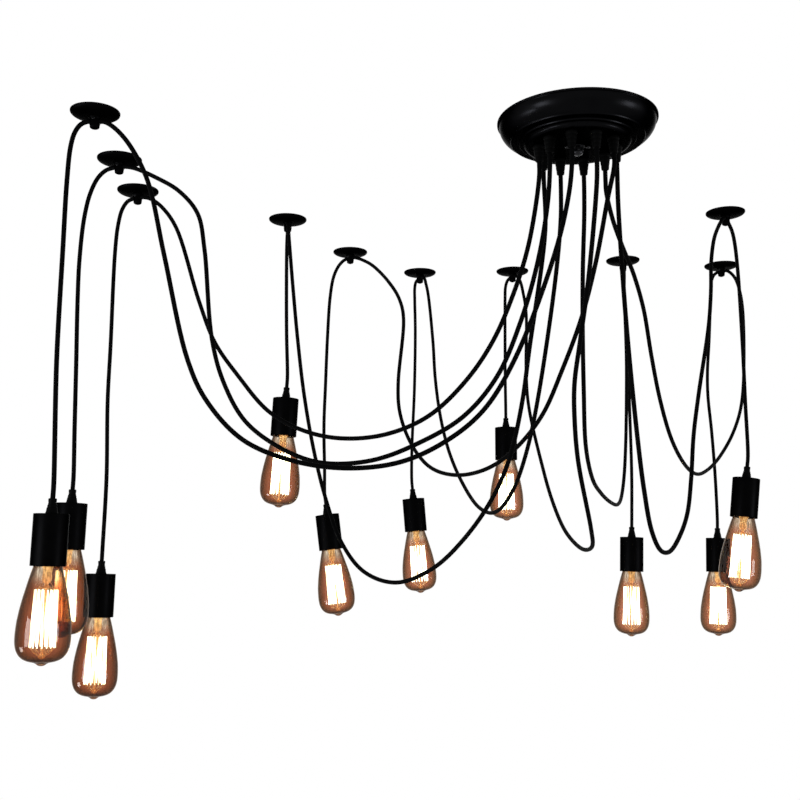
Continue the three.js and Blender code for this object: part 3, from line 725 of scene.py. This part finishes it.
def arc(start, end, steps, bulge=1):
    """Quarter of an ellipse in an outline, as rows of radius and height: from the start it leaves
    upright in radius when bulge is 1, or level when it is -1, and the start is left out."""
    turn = np.linspace(0, np.pi / 2, steps + 1)[1:, None]
    start = np.array(start)
    end = np.array(end)
    shares = np.hstack([1 - np.cos(turn), np.sin(turn)])
    if bulge == -1:
        shares = np.hstack([np.sin(turn), 1 - np.cos(turn)])
    return start + (end - start) * shares


def outline(*stretches):
    """Joins single points and arcs into one outline of radius and height."""
    return np.vstack([np.atleast_2d(stretch) for stretch in stretches])


def below_rim(knots):
    """Rows of radius and depth below the holder's rim, as radius and height."""
    return np.array([(radius, RIM_HEIGHT - depth) for radius, depth in knots])


def turned(profile, sides):
    """Surface of revolution of an outline, one row of points for each of its points."""
    return at_angles(profile[:, :1], full_turn(sides), profile[:, 1:])


def smooth_route(points, steps):
    """Points of a smooth curve through the given points, steps of them to each stretch: a cubic
    whose end tangents weigh the neighbouring stretches by the square roots of their lengths."""
    knots = np.array(points, float)
    knots = np.vstack([2 * knots[0] - knots[1], knots, 2 * knots[-1] - knots[-2]])
    spans = np.sqrt(np.linalg.norm(np.diff(knots, axis=0), axis=1))[:, None]
    slopes = np.diff(knots, axis=0) / spans
    wide = (knots[2:] - knots[:-2]) / (spans[1:] + spans[:-1])
    tangents = slopes[:-1] - wide + slopes[1:]
    start, end = knots[1:-2, None], knots[2:-1, None]
    leave = (tangents[:-1] * spans[1:-1])[:, None]
    arrive = (tangents[1:] * spans[1:-1])[:, None]
    share = np.linspace(0, 1, steps, endpoint=False)[None, :, None]
    curve = (
        start
        + leave * share
        + (3 * (end - start) - 2 * leave - arrive) * share**2
        + (2 * (start - end) + leave + arrive) * share**3
    )
    return np.vstack([curve.reshape(-1, knots.shape[1]), knots[-2]])


def swept(path, radius, sides):
    """Round tube along a path: each ring is a circle square to the path, set out from the one
    direction that the path's tangents least point along."""
    tangents = np.gradient(path, axis=0)
    tangents /= np.linalg.norm(tangents, axis=1)[:, None]
    aside = np.linalg.svd(tangents, full_matrices=False)[2][-1]
    across = np.cross(tangents, aside)
    across /= np.linalg.norm(across, axis=1)[:, None]
    along = np.cross(tangents, across)
    angle = full_turn(sides)[None, :, None]
    ring = across[:, None] * np.cos(angle) + along[:, None] * np.sin(angle)
    return path[:, None] + ring * radius


def capped(grid):
    """The grid with its first and last rows drawn in to their middles, so that both ends close."""
    first = np.broadcast_to(grid[0].mean(axis=0), grid[0].shape)
    last = np.broadcast_to(grid[-1].mean(axis=0), grid[-1].shape)
    return np.concatenate([first[None], grid, last[None]])


def placed(grid, place=(0, 0, 0), lean=0.0, turn=0.0):
    """The grid turned about the vertical, leant about the row's Y axis and moved to its place."""
    c, s = math.cos(turn), math.sin(turn)
    about_z = np.array([[c, -s, 0], [s, c, 0], [0, 0, 1]])
    c, s = math.cos(lean), math.sin(lean)
    about_y = np.array([[c, 0, -s], [0, 1, 0], [s, 0, c]])
    return grid @ about_z.T @ about_y.T + np.array(place)


def on_lamp(arm, *grids):
    """Grids measured from the top of a strain relief, placed and leant as the arm's lamp is."""
    return [placed(grid, arm["top"], math.radians(arm["tilt"])) for grid in grids]


def piece(name, grids, finish, body="ceiling_fixture", crease=35.0, nodes=()):
    """A mesh of one or more grids, each closed around its columns, with doubled points merged, the
    faces turned outwards and edges kept sharp past the crease angle."""
    corners = []
    quads = []
    charts = []
    count = 0
    for grid in grids:
        rows, columns = grid.shape[:2]
        index = np.arange(rows * columns).reshape(rows, columns) + count
        after = np.roll(index, -1, axis=1)
        faces = np.stack([index[:-1], after[:-1], after[1:], index[1:]], axis=-1)
        down, around = np.mgrid[0 : rows - 1, 0:columns]
        left, right = around / columns, (around + 1) / columns
        run = np.append(0, np.linalg.norm(np.diff(grid[:, 0], axis=0), axis=1).cumsum())
        high, low = run[down] / run[-1], run[down + 1] / run[-1]
        chart = np.stack([left, high, right, high, right, low, left, low], axis=-1)
        corners.append(grid.reshape(-1, 3))
        quads.append(faces.reshape(-1, 4))
        charts.append(chart.ravel())
        count += rows * columns
    mesh = bpy.data.meshes.new(name)
    mesh.from_pydata(np.vstack(corners).tolist(), [], np.vstack(quads).tolist())
    mesh.uv_layers.new(name="around_and_down").data.foreach_set("uv", np.concatenate(charts))
    work = bmesh.new()
    work.from_mesh(mesh)
    bmesh.ops.remove_doubles(work, verts=work.verts, dist=1e-7)
    bmesh.ops.dissolve_degenerate(work, edges=work.edges, dist=1e-7)
    bmesh.ops.recalc_face_normals(work, faces=work.faces)
    work.to_mesh(mesh)
    work.free()
    mesh.shade_smooth()
    mesh.set_sharp_from_angle(angle=math.radians(crease))
    mesh.materials.append(finish)
    item = bpy.data.objects.new(name, mesh)
    bpy.context.scene.collection.objects.link(item)
    if body:
        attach(item, body)
    if nodes:
        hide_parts(*nodes)
    return item


# The canopy and what holds it


def canopy_dish():
    """The pressed dish, turned from half of its section: the outside from the wall to the bore, a
    rolled lip, a rounded shoulder, two low steps with soft edges and a boss with a flat face; and
    the inside, plain."""
    lip = (CANOPY_RADIUS, -LIP_HEIGHT + LIP_ROLL)
    shoulder = (CANOPY_RADIUS - LIP_INSET, -LIP_HEIGHT - LIP_STEP)
    turn = np.linspace(0, math.acos(1 - SHOULDER_SHARE), 44)
    width = CANOPY_RADIUS - LIP_INSET - CREASE_RADIUS
    drop = SHOULDER_DEPTH - LIP_HEIGHT - LIP_STEP
    across = shoulder[0] - width * (1 - np.cos(turn))
    bowl = np.stack([across, shoulder[1] - drop * np.sin(turn)], axis=1)
    neck = (shoulder[0] + 0.0004, -LIP_HEIGHT)
    outside = outline(
        (CANOPY_RADIUS - SHEET, 0), (CANOPY_RADIUS - LIP_ROLL, 0),
        arc((CANOPY_RADIUS - LIP_ROLL, 0), (CANOPY_RADIUS, -LIP_ROLL), 4, -1), lip,
        arc(lip, (CANOPY_RADIUS - LIP_ROLL, -LIP_HEIGHT), 4), neck, arc(neck, shoulder, 3, -1),
        bowl[1:], smooth_route([bowl[-1], *STEP_KNOTS], 5)[1:],
        arc(STEP_KNOTS[-1], (FLAT_RADIUS, -CANOPY_DEPTH), 14), (CANOPY_BORE, -CANOPY_DEPTH),
    )
    wall = CANOPY_RADIUS - LIP_INSET - SHEET
    inside = outline(
        (CANOPY_RADIUS - SHEET, -LIP_HEIGHT + SHEET), (wall + 0.0006, -LIP_HEIGHT + SHEET - 0.0002),
        arc((wall, -LIP_HEIGHT - 0.0006), (CREASE_RADIUS, -SHOULDER_DEPTH + SHEET + 0.0008), 30),
        arc(INNER_STEP, (FLAT_RADIUS - SHEET, -CANOPY_DEPTH + SHEET), 8),
        (CANOPY_BORE, -CANOPY_DEPTH + SHEET),
    )
    loop = np.vstack([outside, inside[::-1], outside[:1]])
    piece("canopy_dish", [turned(loop, 192)], ENAMEL, nodes=("canopy_cover",))


def grip_place(number):
    """Where a grip stands on the ring of grips."""
    angle = number / GRIP_COUNT * 2 * math.pi
    return (GRIP_CIRCLE * math.cos(angle), GRIP_CIRCLE * math.sin(angle))


def cord_grip(number):
    """A round collar on the flat, a cone with three shallow rings and a rounded mouth; and inside
    the dish the round nut and the end of the threaded neck that hold it."""
    flat = -CANOPY_DEPTH
    middle = (CORD_RADIUS, flat + SHEET / 2)
    waist = (GRIP_BASE - 0.0004, flat - GRIP_COLLAR)
    collar = (GRIP_BASE, flat - GRIP_COLLAR + 0.0006)
    mouth = flat - GRIP_LENGTH
    lip = mouth - MOUTH_LAP
    soft = 0.0008
    cone = np.linspace(0, 1, 25)
    ring = GRIP_RING * np.maximum(0, np.sin(cone * 6 * np.pi)) * (cone < 0.9)
    cone_radius = waist[0] + (GRIP_TIP - waist[0]) * cone - ring
    cone_height = waist[1] + (mouth + soft - waist[1]) * cone
    profile = outline(
        middle, (GRIP_BASE, flat + SHEET / 2), collar, arc(collar, waist, 3),
        np.stack([cone_radius, cone_height], axis=1),
        arc((GRIP_TIP, lip + soft), (GRIP_TIP - soft, lip), 4), (CORD_RADIUS + MOUTH_ROOM, lip),
        (CORD_RADIUS, mouth + 0.002), middle,
    )
    inner = flat + SHEET
    neck_top, nut_top = inner + BUSH_NECK_HEIGHT, inner + BUSH_NUT_HEIGHT
    bush = outline(
        middle, (CORD_RADIUS, neck_top), (BUSH_NECK - 0.0003, neck_top),
        (BUSH_NECK, neck_top - 0.0003), (BUSH_NECK, nut_top), (BUSH_NUT - 0.0005, nut_top),
        (BUSH_NUT, nut_top - 0.0005), (BUSH_NUT, flat + SHEET / 2), middle,
    )
    place = (*grip_place(number), 0)
    grids = [placed(turned(stretch, 40), place) for stretch in (profile, bush)]
    piece(f"cord_grip_{number + 1:02d}", grids, MOULDED)


def core_route(number, black):
    """Cubic curve with four control points for one core of a cord: it leaves the sheath's end
    upwards and reaches the terminal block square to the block's long side. How far its two handles
    reach goes by the cord's place in its row of five and by how far off the block is, which keeps
    the cores clear of each other."""
    x, y = grip_place(number)
    side = 1 if number < GRIP_COUNT / 2 else -1
    rank = 4 - number if side == 1 else number - 5
    aside = np.array([-y, x, 0]) / GRIP_CIRCLE
    if aside[0] < -1e-6:
        aside = -aside
    low_row = rank % 2
    way = BLACK_WAY if black else WHITE_WAY
    spread = CORE_SPREAD if black else -CORE_SPREAD
    start = np.array([x, y, SHEATH_END - 0.0005]) + aside * spread
    face = side * (BLOCK_FACE - BLOCK_ENTRY)
    end = np.array([way + WAY_PITCH * (rank - 2), face, HIGH_ROW - ROW_PITCH * low_row])
    away = math.hypot(start[0] - end[0], start[1] - end[1])
    rise = CORE_RISE + RISE_BY_ROW * low_row - RISE_OFF_BLACK * black
    reach = CORE_REACH + REACH_SHARE * away + REACH_BY_BLACK * black
    sink = CORE_SINK + SINK_BY_RANK * rank - SINK_OFF_BLACK * black
    leave = start + np.array([0, side * CORE_OUT, rise])
    arrive = end + np.array([0, side * reach, -sink])
    share = np.linspace(0, 1, 33)[:, None]
    rest = 1 - share
    middle = 3 * rest**2 * share * leave + 3 * rest * share**2 * arrive
    return rest**3 * start + middle + share**3 * end


def inner_leads(number):
    """Inside the dish, the stripped end of a cord's sheath and its two cores, each a thin round
    tube along its route to the terminal block."""
    label = f"{number + 1:02d}"
    edge = 0.0003
    stub = outline(
        (0, -CANOPY_DEPTH), (CORD_RADIUS, -CANOPY_DEPTH), (CORD_RADIUS, SHEATH_END - edge),
        (CORD_RADIUS - edge, SHEATH_END), (0, SHEATH_END),
    )
    stub_grid = placed(turned(stub, 24), (*grip_place(number), 0))
    sheath_end = piece("sheath_end_" + label, [stub_grid], SHEATH)
    cores = (("black", MOULDED, "cord_black"), ("white", WHITE_CORE, "terminal_white"))
    for colour, finish, slot in cores:
        black = colour == "black"
        path = core_route(number, black)
        grid = capped(swept(path, CORE_DIAMETER / 2, 10))
        core = piece(f"{colour}_core_{label}", [grid], finish)


def cap_washer():
    """Flat ring with its outer edges broken."""
    edge = 0.0003
    low, high = WASHER_TOP - SHEET, WASHER_TOP
    profile = outline(
        (WASHER_BORE, high), (WASHER_RADIUS - edge, high), (WASHER_RADIUS, high - edge),
        (WASHER_RADIUS, low + edge), (WASHER_RADIUS - edge, low), (WASHER_BORE, low),
        (WASHER_BORE, high),
    )
    piece("cap_washer_disc", [turned(profile, 64)], STEEL, nodes=("cap_washer",))


def cap_nut():
    """Hexagon whose corners are turned off by a cone at each end, under a smooth dome. The
    hexagon's side at angle a lies at half the width across flats over the cosine of the angle to
    the nearest flat."""
    hex_low = CAP_NUT_TOP - CAP_NUT_HEIGHT
    sides = 96
    angle = full_turn(sides)
    to_flat = (angle + np.pi / 6) % (np.pi / 3) - np.pi / 6
    hexagon = CAP_NUT_HALF_WIDTH / np.cos(to_flat)
    depths, limits = np.transpose(HEX_KNOTS)[..., None]
    prism = at_angles(np.minimum(hexagon[None], limits), angle, CAP_NUT_TOP - depths)
    foot = (CAP_DOME_RADIUS, hex_low - 0.0008)
    dome_end = (0, hex_low - CAP_DOME_HEIGHT)
    dome = outline((CAP_DOME_RADIUS, hex_low + 0.0002), foot, arc(foot, dome_end, 14))
    grids = [capped(prism), capped(turned(dome, sides))]
    piece("domed_cap_nut", grids, STEEL, nodes=("cap_nut",))


def pan_screw(side, x):
    """Pan head with a domed face and a cross-shaped recess sunk where two slots meet."""
    sides = 64
    angle = full_turn(sides)
    radius = np.linspace(0, 1, 18)[::-1, None] * SCREW_HEAD * np.ones(sides)
    low = WASHER_TOP - SCREW_HEAD_HEIGHT
    dome = low + SCREW_DOME_SHARE * SCREW_HEAD_HEIGHT * (radius / SCREW_HEAD) ** 2.4
    across = np.minimum(abs(radius * np.cos(angle)), abs(radius * np.sin(angle)))
    in_slot = np.clip((SLOT_HALF_WIDTH - across) / 0.0002, 0, 1)
    in_cross = in_slot * np.clip((SLOT_SHARE * SCREW_HEAD - radius) / 0.0003, 0, 1)
    face = at_angles(radius, angle, dome + SLOT_DEPTH * in_cross)
    under = [(SCREW_SHANK, -CLEARANCE), (SCREW_SHANK, WASHER_TOP), (SCREW_HEAD, WASHER_TOP)]
    grid = capped(np.concatenate([turned(outline(*under), sides), face]))
    name, node = f"cover_screw_{side}", f"canopy_screw_{side}"
    piece(name, [placed(grid, (x, 0, 0))], STEEL, nodes=(node,))


# The arms


def cord_pieces(label, arm):
    """The swag from its grip to the hook's port and the drop from the port to the strain relief."""
    turn = math.radians(arm["turn"])
    way = np.array([math.cos(turn), math.sin(turn), 0])
    port = np.array([*arm["hook"], -PORT_DROP])
    grip_x, grip_y = grip_place(arm["grip"])
    grip_mouth = -CANOPY_DEPTH - GRIP_LENGTH - CLEARANCE
    lean = math.radians(arm["tilt"])
    up = np.array([-math.sin(lean), 0, math.cos(lean)])
    top = np.array(arm["top"])
    swag_route = [
        (grip_x, grip_y, grip_mouth),
        (grip_x, grip_y, grip_mouth - GRIP_LEAD),
        *np.array(arm["swag"]) * MILLIMETRE,
        port + way * (PORT_FACE + PORT_LEAD),
        port + way * PORT_FACE,
    ]
    drop_route = [
        port - way * PORT_FACE,
        port - way * (PORT_FACE + PORT_LEAD),
        *np.array(arm["drop"]) * MILLIMETRE,
        top + up * (CLEARANCE + RELIEF_LEAD),
        top + up * CLEARANCE,
    ]
    for kind, route in (("swag", swag_route), ("drop", drop_route)):
        path = smooth_route(route, 10)
        cord = piece(
            f"black_{kind}_{label}", [capped(swept(path, CORD_RADIUS, 20))], SHEATH,
            body="ceiling_fixture" if kind == "swag" else None, nodes=(f"{kind}_cord_{label}",),
        )
        if kind == "drop":
            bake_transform(cord)


def saucer_hook(label, arm):
    """Saucer with a rolled edge and a flowing fillet into its stud, a thin rim round the port on
    both sides, and below the port a clamp nut whose side has fine ribs: its radius is waved by the
    cosine of thirty-six times the angle. A grub screw stands in the stud above the port."""
    foot = -HOOK_DOME - STUD_LENGTH - KNOB_LENGTH
    groove = -PORT_DROP - NUT_GROOVE
    roll = (HOOK_RADIUS - HOOK_ROLL, 0)
    edge = (HOOK_RADIUS, -HOOK_EDGE + HOOK_ROLL)
    dome_end = (HOOK_STUD + HOOK_FILLET, -HOOK_DOME + HOOK_ROLL)
    saucer = outline(
        (0, 0), roll, arc(roll, (HOOK_RADIUS, -HOOK_ROLL), 3, -1), edge, arc(edge, dome_end, 24),
        arc(dome_end, (HOOK_STUD, -HOOK_DOME - HOOK_FILLET), 8, -1), (HOOK_STUD, groove + 0.0003),
        (HOOK_STUD - HOOK_ROLL, groove), (0, groove),
    )
    nut_low, nut_top = foot + 0.0010, groove + 0.0002
    nut = outline(
        (NUT_RADIUS - 0.0004, nut_top), (NUT_RADIUS, nut_top - 0.0006),
        (NUT_RADIUS - 0.0003, nut_low + 0.0014), (NUT_RADIUS - 0.0006, nut_low + 0.0006),
        (NUT_RADIUS - 0.0014, nut_low),
    )
    angle = full_turn(144)
    ribs = NUT_RIB_DEPTH * np.cos(NUT_RIBS * angle) * np.array([0, 1, 1, 0, 0])[:, None]
    nut_side = at_angles(nut[:, :1] + ribs, angle, nut[:, 1:])
    screw_end = outline(
        (NUT_END_RADIUS, nut_low + 0.0003), (NUT_END_RADIUS, foot + 0.0003), (0.0025, foot),
        (0.0014, foot), (0.0013, foot + 0.0005), (0, foot + 0.0005),
    )
    grids = [turned(saucer, 96), capped(nut_side), turned(screw_end, 32)]
    rim_angle = np.linspace(0, 2 * np.pi, 41)
    rim_radius = CORD_RADIUS + PORT_RIM
    y = rim_radius * np.cos(rim_angle)
    z = -PORT_DROP + rim_radius * np.sin(rim_angle)
    for side in (-1, 1):
        x = side * np.sqrt(HOOK_STUD**2 - y**2)
        grids.append(swept(np.stack([x, y, z], axis=1), PORT_RIM_WIRE, 10))
    place = (*arm["hook"], 0)
    turn = math.radians(arm["turn"])
    grids = [placed(grid, place, turn=turn) for grid in grids]
    nodes = (f"ceiling_hook_{label}",)
    piece(f"saucer_hook_{label}", grids, SATIN, nodes=nodes)

    head = outline(
        (GRUB_RADIUS, -0.001), (GRUB_RADIUS, 0.0004), (0.0018, 0.0007), (0.0010, 0.0007),
        (0.0009, 0.0001), (0, 0.0001),
    )
    grub = turned(head, 24)[..., [0, 2, 1]] * np.array([1, -1, 1])
    grub = grub + np.array([0, -HOOK_STUD, -PORT_DROP + GRUB_RISE])
    piece(f"grub_screw_{label}", [placed(grub, place, turn=turn)], STEEL)


def lamp_holder(label, arm, body):
    """Straight holder shell, its strain relief, and the screw socket inside."""
    under = SHELL_TOP - HOLDER_PLATE
    shoulder = (HOLDER_RADIUS - HOLDER_EDGE, SHELL_TOP)
    rim = (HOLDER_RADIUS, RIM_HEIGHT + HOLDER_EDGE)
    shell = outline(
        (POST_RADIUS, SHELL_TOP), shoulder,
        arc(shoulder, (HOLDER_RADIUS, SHELL_TOP - HOLDER_EDGE), 4, -1), rim,
        arc(rim, (HOLDER_RADIUS - HOLDER_EDGE, RIM_HEIGHT), 4), (HOLDER_RADIUS - SHEET, RIM_HEIGHT),
        (HOLDER_RADIUS - SHEET, under), (POST_RADIUS, under), (POST_RADIUS, SHELL_TOP),
    )
    grids = on_lamp(arm, turned(shell, 96))
    nodes = (f"lamp_holder_{label}",)
    piece(f"holder_shell_{label}", grids, SATIN, body, nodes=nodes)

    base = (RELIEF_BASE, SHELL_TOP + 0.0012)
    collar = (RELIEF_COLLAR, MOUTH_LAP - 0.0010)
    relief = outline(
        (CORD_RADIUS, SHELL_TOP - 0.001), (RELIEF_BASE, SHELL_TOP - 0.001), base,
        arc(base, (RELIEF_BASE - 0.0005, SHELL_TOP + 0.0018), 3), (RELIEF_NECK + 0.0016, -0.0105),
        (RELIEF_NECK + 0.0009, -0.0103), (RELIEF_NECK + 0.0012, -0.0094),
        (RELIEF_NECK + 0.0008, -0.0072), (RELIEF_NECK + 0.0002, -0.0070),
        (RELIEF_NECK + 0.0005, -0.0062), (RELIEF_NECK, -0.0042), (RELIEF_COLLAR - 0.0002, -0.0036),
        (RELIEF_COLLAR, -0.0030), collar, arc(collar, (RELIEF_COLLAR - 0.0010, MOUTH_LAP), 4),
        (CORD_RADIUS + MOUTH_ROOM, MOUTH_LAP), (CORD_RADIUS, -0.002),
        (CORD_RADIUS, SHELL_TOP - 0.001),
    )
    grids = on_lamp(arm, turned(relief, 48))
    piece(f"strain_relief_{label}", grids, MOULDED, body)

    floor_high = FLOOR_LOW + SOCKET_FLOOR
    socket = outline(
        (0, under), (POST_RADIUS, under), (POST_RADIUS, floor_high),
        (SLEEVE_BORE + SLEEVE_WALL, floor_high), (SLEEVE_BORE + SLEEVE_WALL, MOUTH_HEIGHT),
        (SLEEVE_BORE, MOUTH_HEIGHT), (SLEEVE_BORE, FLOOR_LOW), (0, FLOOR_LOW),
    )
    grids = on_lamp(arm, turned(socket, 64))
    piece(f"screw_socket_{label}", grids, MOULDED, body)


def bulb_glass(label, arm, body):
    """Thin glass shell. The outside runs from inside the holder down the flank and round the
    bottom to the tip, a smooth curve through the radii measured at each depth; the inside is the
    same curve set in by the wall's thickness as far as the blown tip, which is solid."""
    mouth = (CAP_RADIUS - 0.0004, MOUTH_HEIGHT)
    knots = below_rim(GLASS_KNOTS)
    curve = smooth_route(knots, 4)
    curve[-1] = knots[-1]
    outside = outline(mouth, arc(mouth, knots[0], 6)[:-1], curve)
    run = np.gradient(outside, axis=0)
    run /= np.linalg.norm(run, axis=1)[:, None]
    inside = outside + GLASS_WALL * np.stack([run[:, 1], -run[:, 0]], axis=1)
    inside = inside[outside[:, 0] > 0.009]
    inside[0] = (outside[0, 0] - GLASS_WALL, MOUTH_HEIGHT)
    tip = RIM_HEIGHT - TIP_SOLID_DEPTH
    inside = outline(inside[inside[:, 1] > tip], (0, tip))
    grids = on_lamp(arm, turned(np.vstack([inside[::-1], outside]), 72))
    nodes = (f"bulb_{label}",)
    piece(f"pear_glass_{label}", grids, GLASS, body, crease=60, nodes=nodes)


def screw_cap(label, arm, body):
    """Cap with a rolled thread: its radius waves with the thread's turns along the length, and the
    wave moves round with the angle, so that the thread climbs."""
    rows = np.linspace(0, 1, 64)[:, None]
    angle = full_turn(48)
    wave = THREAD_DEPTH * (np.cos(rows * 2 * np.pi * THREAD_TURNS - angle) - 1)
    fade = np.clip(np.minimum(rows, 1 - rows) / 0.06, 0, 1)
    cap_top = FLOOR_LOW - CLEARANCE
    thread_top, thread_low = cap_top - 0.004, MOUTH_HEIGHT + 0.0008
    height = thread_top + (thread_low - thread_top) * rows
    thread = at_angles(CAP_RADIUS - 0.0001 + wave * fade, angle, height)
    crown = outline(
        (0, cap_top), (CONTACT_RADIUS, cap_top), (0.0052, cap_top - 0.0008),
        (INSULATOR_RADIUS, cap_top - 0.0012), (CAP_RADIUS - 0.0018, cap_top - 0.0030),
    )
    skirt = outline((CAP_RADIUS - 0.0008, MOUTH_HEIGHT + 0.0003), (0, MOUTH_HEIGHT + 0.0003))
    grid = np.concatenate([turned(crown, 48), thread, turned(skirt, 48)])
    piece(f"screw_cap_{label}", on_lamp(arm, grid), BRASS, body)


def glass_stem(label, arm, body):
    """Stem from the neck: a flared tube pressed flat where the wires pass, its half depth the
    radius times a share that falls and rises again; then a rod with a button at each end."""
    rows = np.transpose(FLARE_KNOTS)
    place = np.arange(len(FLARE_KNOTS))
    fine = np.linspace(0, place[-1], 56)
    depth, radius, flat = (np.interp(fine, place, row)[:, None] for row in rows)
    flare = at_angles(radius, full_turn(32), RIM_HEIGHT - depth)
    flare[..., 1] *= flat
    rod = turned(below_rim(ROD_KNOTS), 16)
    grids = on_lamp(arm, capped(flare), capped(rod))
    piece(f"glass_stem_{label}", grids, STEM, body, crease=60)


def filament_cage(label, arm, body):
    """Filament that runs up and down, each run a straight thin tube, with a bowed support to each
    bend. The bends lie by turns on the top ring and on the wider bottom ring, each one step
    further round, and a gap is left between the first and the last."""
    index = np.arange(FILAMENT_RUNS + 1)
    low = index % 2 == 1
    ring_radius = np.where(low, CAGE_LOW_RADIUS, CAGE_TOP_RADIUS)
    ring_height = RIM_HEIGHT - np.where(low, CAGE_LOW_DEPTH, CAGE_TOP_DEPTH)
    bends = at_angles(ring_radius, index / (FILAMENT_RUNS + 1) * 2 * np.pi, ring_height)
    share = np.linspace(0, 1, 5)[:, None]
    strands = [
        capped(swept(start + (end - start) * share, FILAMENT_RADIUS, 6))
        for start, end in zip(bends[:-1], bends[1:])
    ]
    piece(f"filament_{label}", on_lamp(arm, *strands), FILAMENT, body)

    share = np.linspace(0, 1, 7)[:, None]
    wires = []
    for end, is_low in zip(bends, low):
        outward = np.array([end[0], end[1], 0]) / math.hypot(end[0], end[1])
        middle = np.array([0, 0, RIM_HEIGHT - (HUB_DEPTH if is_low else BUTTON_DEPTH)])
        start = middle + outward * SUPPORT_START
        bow = np.array([0, 0, SUPPORT_BOW_LOW if is_low else SUPPORT_BOW_TOP])
        bow = np.sin(share * np.pi) * bow
        wires.append(capped(swept(start + (end - start) * share + bow, SUPPORT_RADIUS, 6)))
    for side in (-1, 1):
        lead = [(side * out, 0, RIM_HEIGHT - depth) for out, depth in LEAD_KNOTS]
        wires.append(capped(swept(smooth_route(lead, 5), LEAD_RADIUS, 8)))
    piece(f"support_wires_{label}", on_lamp(arm, *wires), SUPPORT, body)


# Assembly

canopy_dish()
for grip_number in range(GRIP_COUNT):
    cord_grip(grip_number)
    inner_leads(grip_number)
cap_washer()
cap_nut()
pan_screw("left", -COVER_SCREW_PLACE)
pan_screw("right", COVER_SCREW_PLACE)
for arm_index, arm_entry in enumerate(ARMS):
    arm_label = f"{arm_index + 1:02d}"
    pendant_body = "pendant_" + arm_label
    lamp_body = "lamp_" + arm_label
    cord_pieces(arm_label, arm_entry)
    saucer_hook(arm_label, arm_entry)
    lamp_holder(arm_label, arm_entry, pendant_body)
    bulb_glass(arm_label, arm_entry, lamp_body)
    screw_cap(arm_label, arm_entry, lamp_body)
    glass_stem(arm_label, arm_entry, lamp_body)
    filament_cage(arm_label, arm_entry, lamp_body)

KEPT_NODES = {
    "mounting_bracket": ZINC,
    "centre_stud": ZINC,
    "lock_nut": ZINC,
    "earth_screw": ZINC,
    "terminal_block": TERMINAL,
}
for node_name, node_finish in KEPT_NODES.items():
    for node_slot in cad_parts[node_name].material_slots:
        node_slot.material = node_finish


# The room: a pale floor, a white surround and three soft windows


def seen_directly(tree):
    """1 for rays from the camera, off gloss or through glass, which see the background; else 0."""
    path = add_node(tree, "LightPath", {})
    inputs = {0: path.outputs["Is Camera Ray"], 1: path.outputs["Is Glossy Ray"]}
    both = add_node(tree, "Math", inputs, operation="MAXIMUM")
    inputs = {0: both.outputs["Value"], 1: path.outputs["Is Transmission Ray"]}
    return add_node(tree, "Math", inputs, operation="MAXIMUM").outputs["Value"]


def floor():
    """Pale floor, mostly white to the camera so that it fades into the surround but keeps the
    object's shadow; seen from underneath it is clear."""
    half = FLOOR_SIZE / 2
    mesh = bpy.data.meshes.new("floor")
    corners = [(-half, -half), (half, -half), (half, half), (-half, half)]
    mesh.from_pydata([(x, y, FLOOR_HEIGHT) for x, y in corners], [], [(0, 1, 2, 3)])
    item = bpy.data.objects.new("floor", mesh)
    bpy.context.scene.collection.objects.link(item)
    finish, shader = new_finish("pale_floor", (0.86, 0.86, 0.86), 0.9)
    tree = finish.node_tree
    white = add_node(tree, "Emission", {"Color": WHITE})
    inputs = {0: seen_directly(tree), 1: FLOOR_WHITE_SHARE}
    part = add_node(tree, "Math", inputs, operation="MULTIPLY")
    inputs = {0: part.outputs["Value"], 1: shader.outputs["BSDF"], 2: white.outputs["Emission"]}
    mix = add_node(tree, "MixShader", inputs)
    side = add_node(tree, "NewGeometry", {})
    clear = add_node(tree, "BsdfTransparent", {})
    inputs = {0: side.outputs["Backfacing"], 1: mix.outputs["Shader"], 2: clear.outputs["BSDF"]}
    from_below = add_node(tree, "MixShader", inputs)
    surface = {"Surface": from_below.outputs["Shader"]}
    fill_inputs(tree, tree.nodes["Material Output"], surface)
    mesh.materials.append(finish)


def surround():
    """White to the camera, and a softer cool white as the light that it gives."""
    world = bpy.data.worlds.new("white_surround")
    bpy.context.scene.world = world
    world.use_nodes = True
    tree = world.node_tree
    soft = tree.nodes["Background"]
    fill_inputs(tree, soft, {"Color": (0.9, 0.92, 0.95, 1.0), "Strength": 0.4})
    white = add_node(tree, "Background", {"Color": WHITE})
    sides = {1: soft.outputs["Background"], 2: white.outputs["Background"]}
    mix = add_node(tree, "MixShader", {0: seen_directly(tree), **sides})
    fill_inputs(tree, tree.nodes["World Output"], {"Surface": mix.outputs["Shader"]})


def window(name, place, width, height, power):
    """Soft rectangular light that faces the aim."""
    light = bpy.data.lights.new(name, "AREA")
    light.shape = "RECTANGLE"
    light.size = width
    light.size_y = height
    light.energy = power
    light.color = WINDOW_COLOUR
    item = bpy.data.objects.new(name, light)
    bpy.context.scene.collection.objects.link(item)
    item.location = place
    item.visible_camera = False
    toward = np.array(WINDOW_AIM) - np.array(place)
    pitch = math.pi / 2 + math.atan2(toward[2], math.hypot(toward[0], toward[1]))
    item.rotation_euler = (pitch, 0, math.atan2(toward[1], toward[0]) - math.pi / 2)


floor()
surround()
for window_entry in WINDOWS:
    window(*window_entry)

camera_data = bpy.data.cameras.new("camera")
camera_data.lens = CAMERA_LENS
camera_data.sensor_width = CAMERA_SENSOR
camera = bpy.data.objects.new("camera", camera_data)
camera.location = CAMERA_PLACE
camera.rotation_euler = (CAMERA_PITCH, 0, 0)
bpy.context.scene.collection.objects.link(camera)
bpy.context.scene.camera = camera
bpy.context.scene.view_settings.view_transform = "Standard"
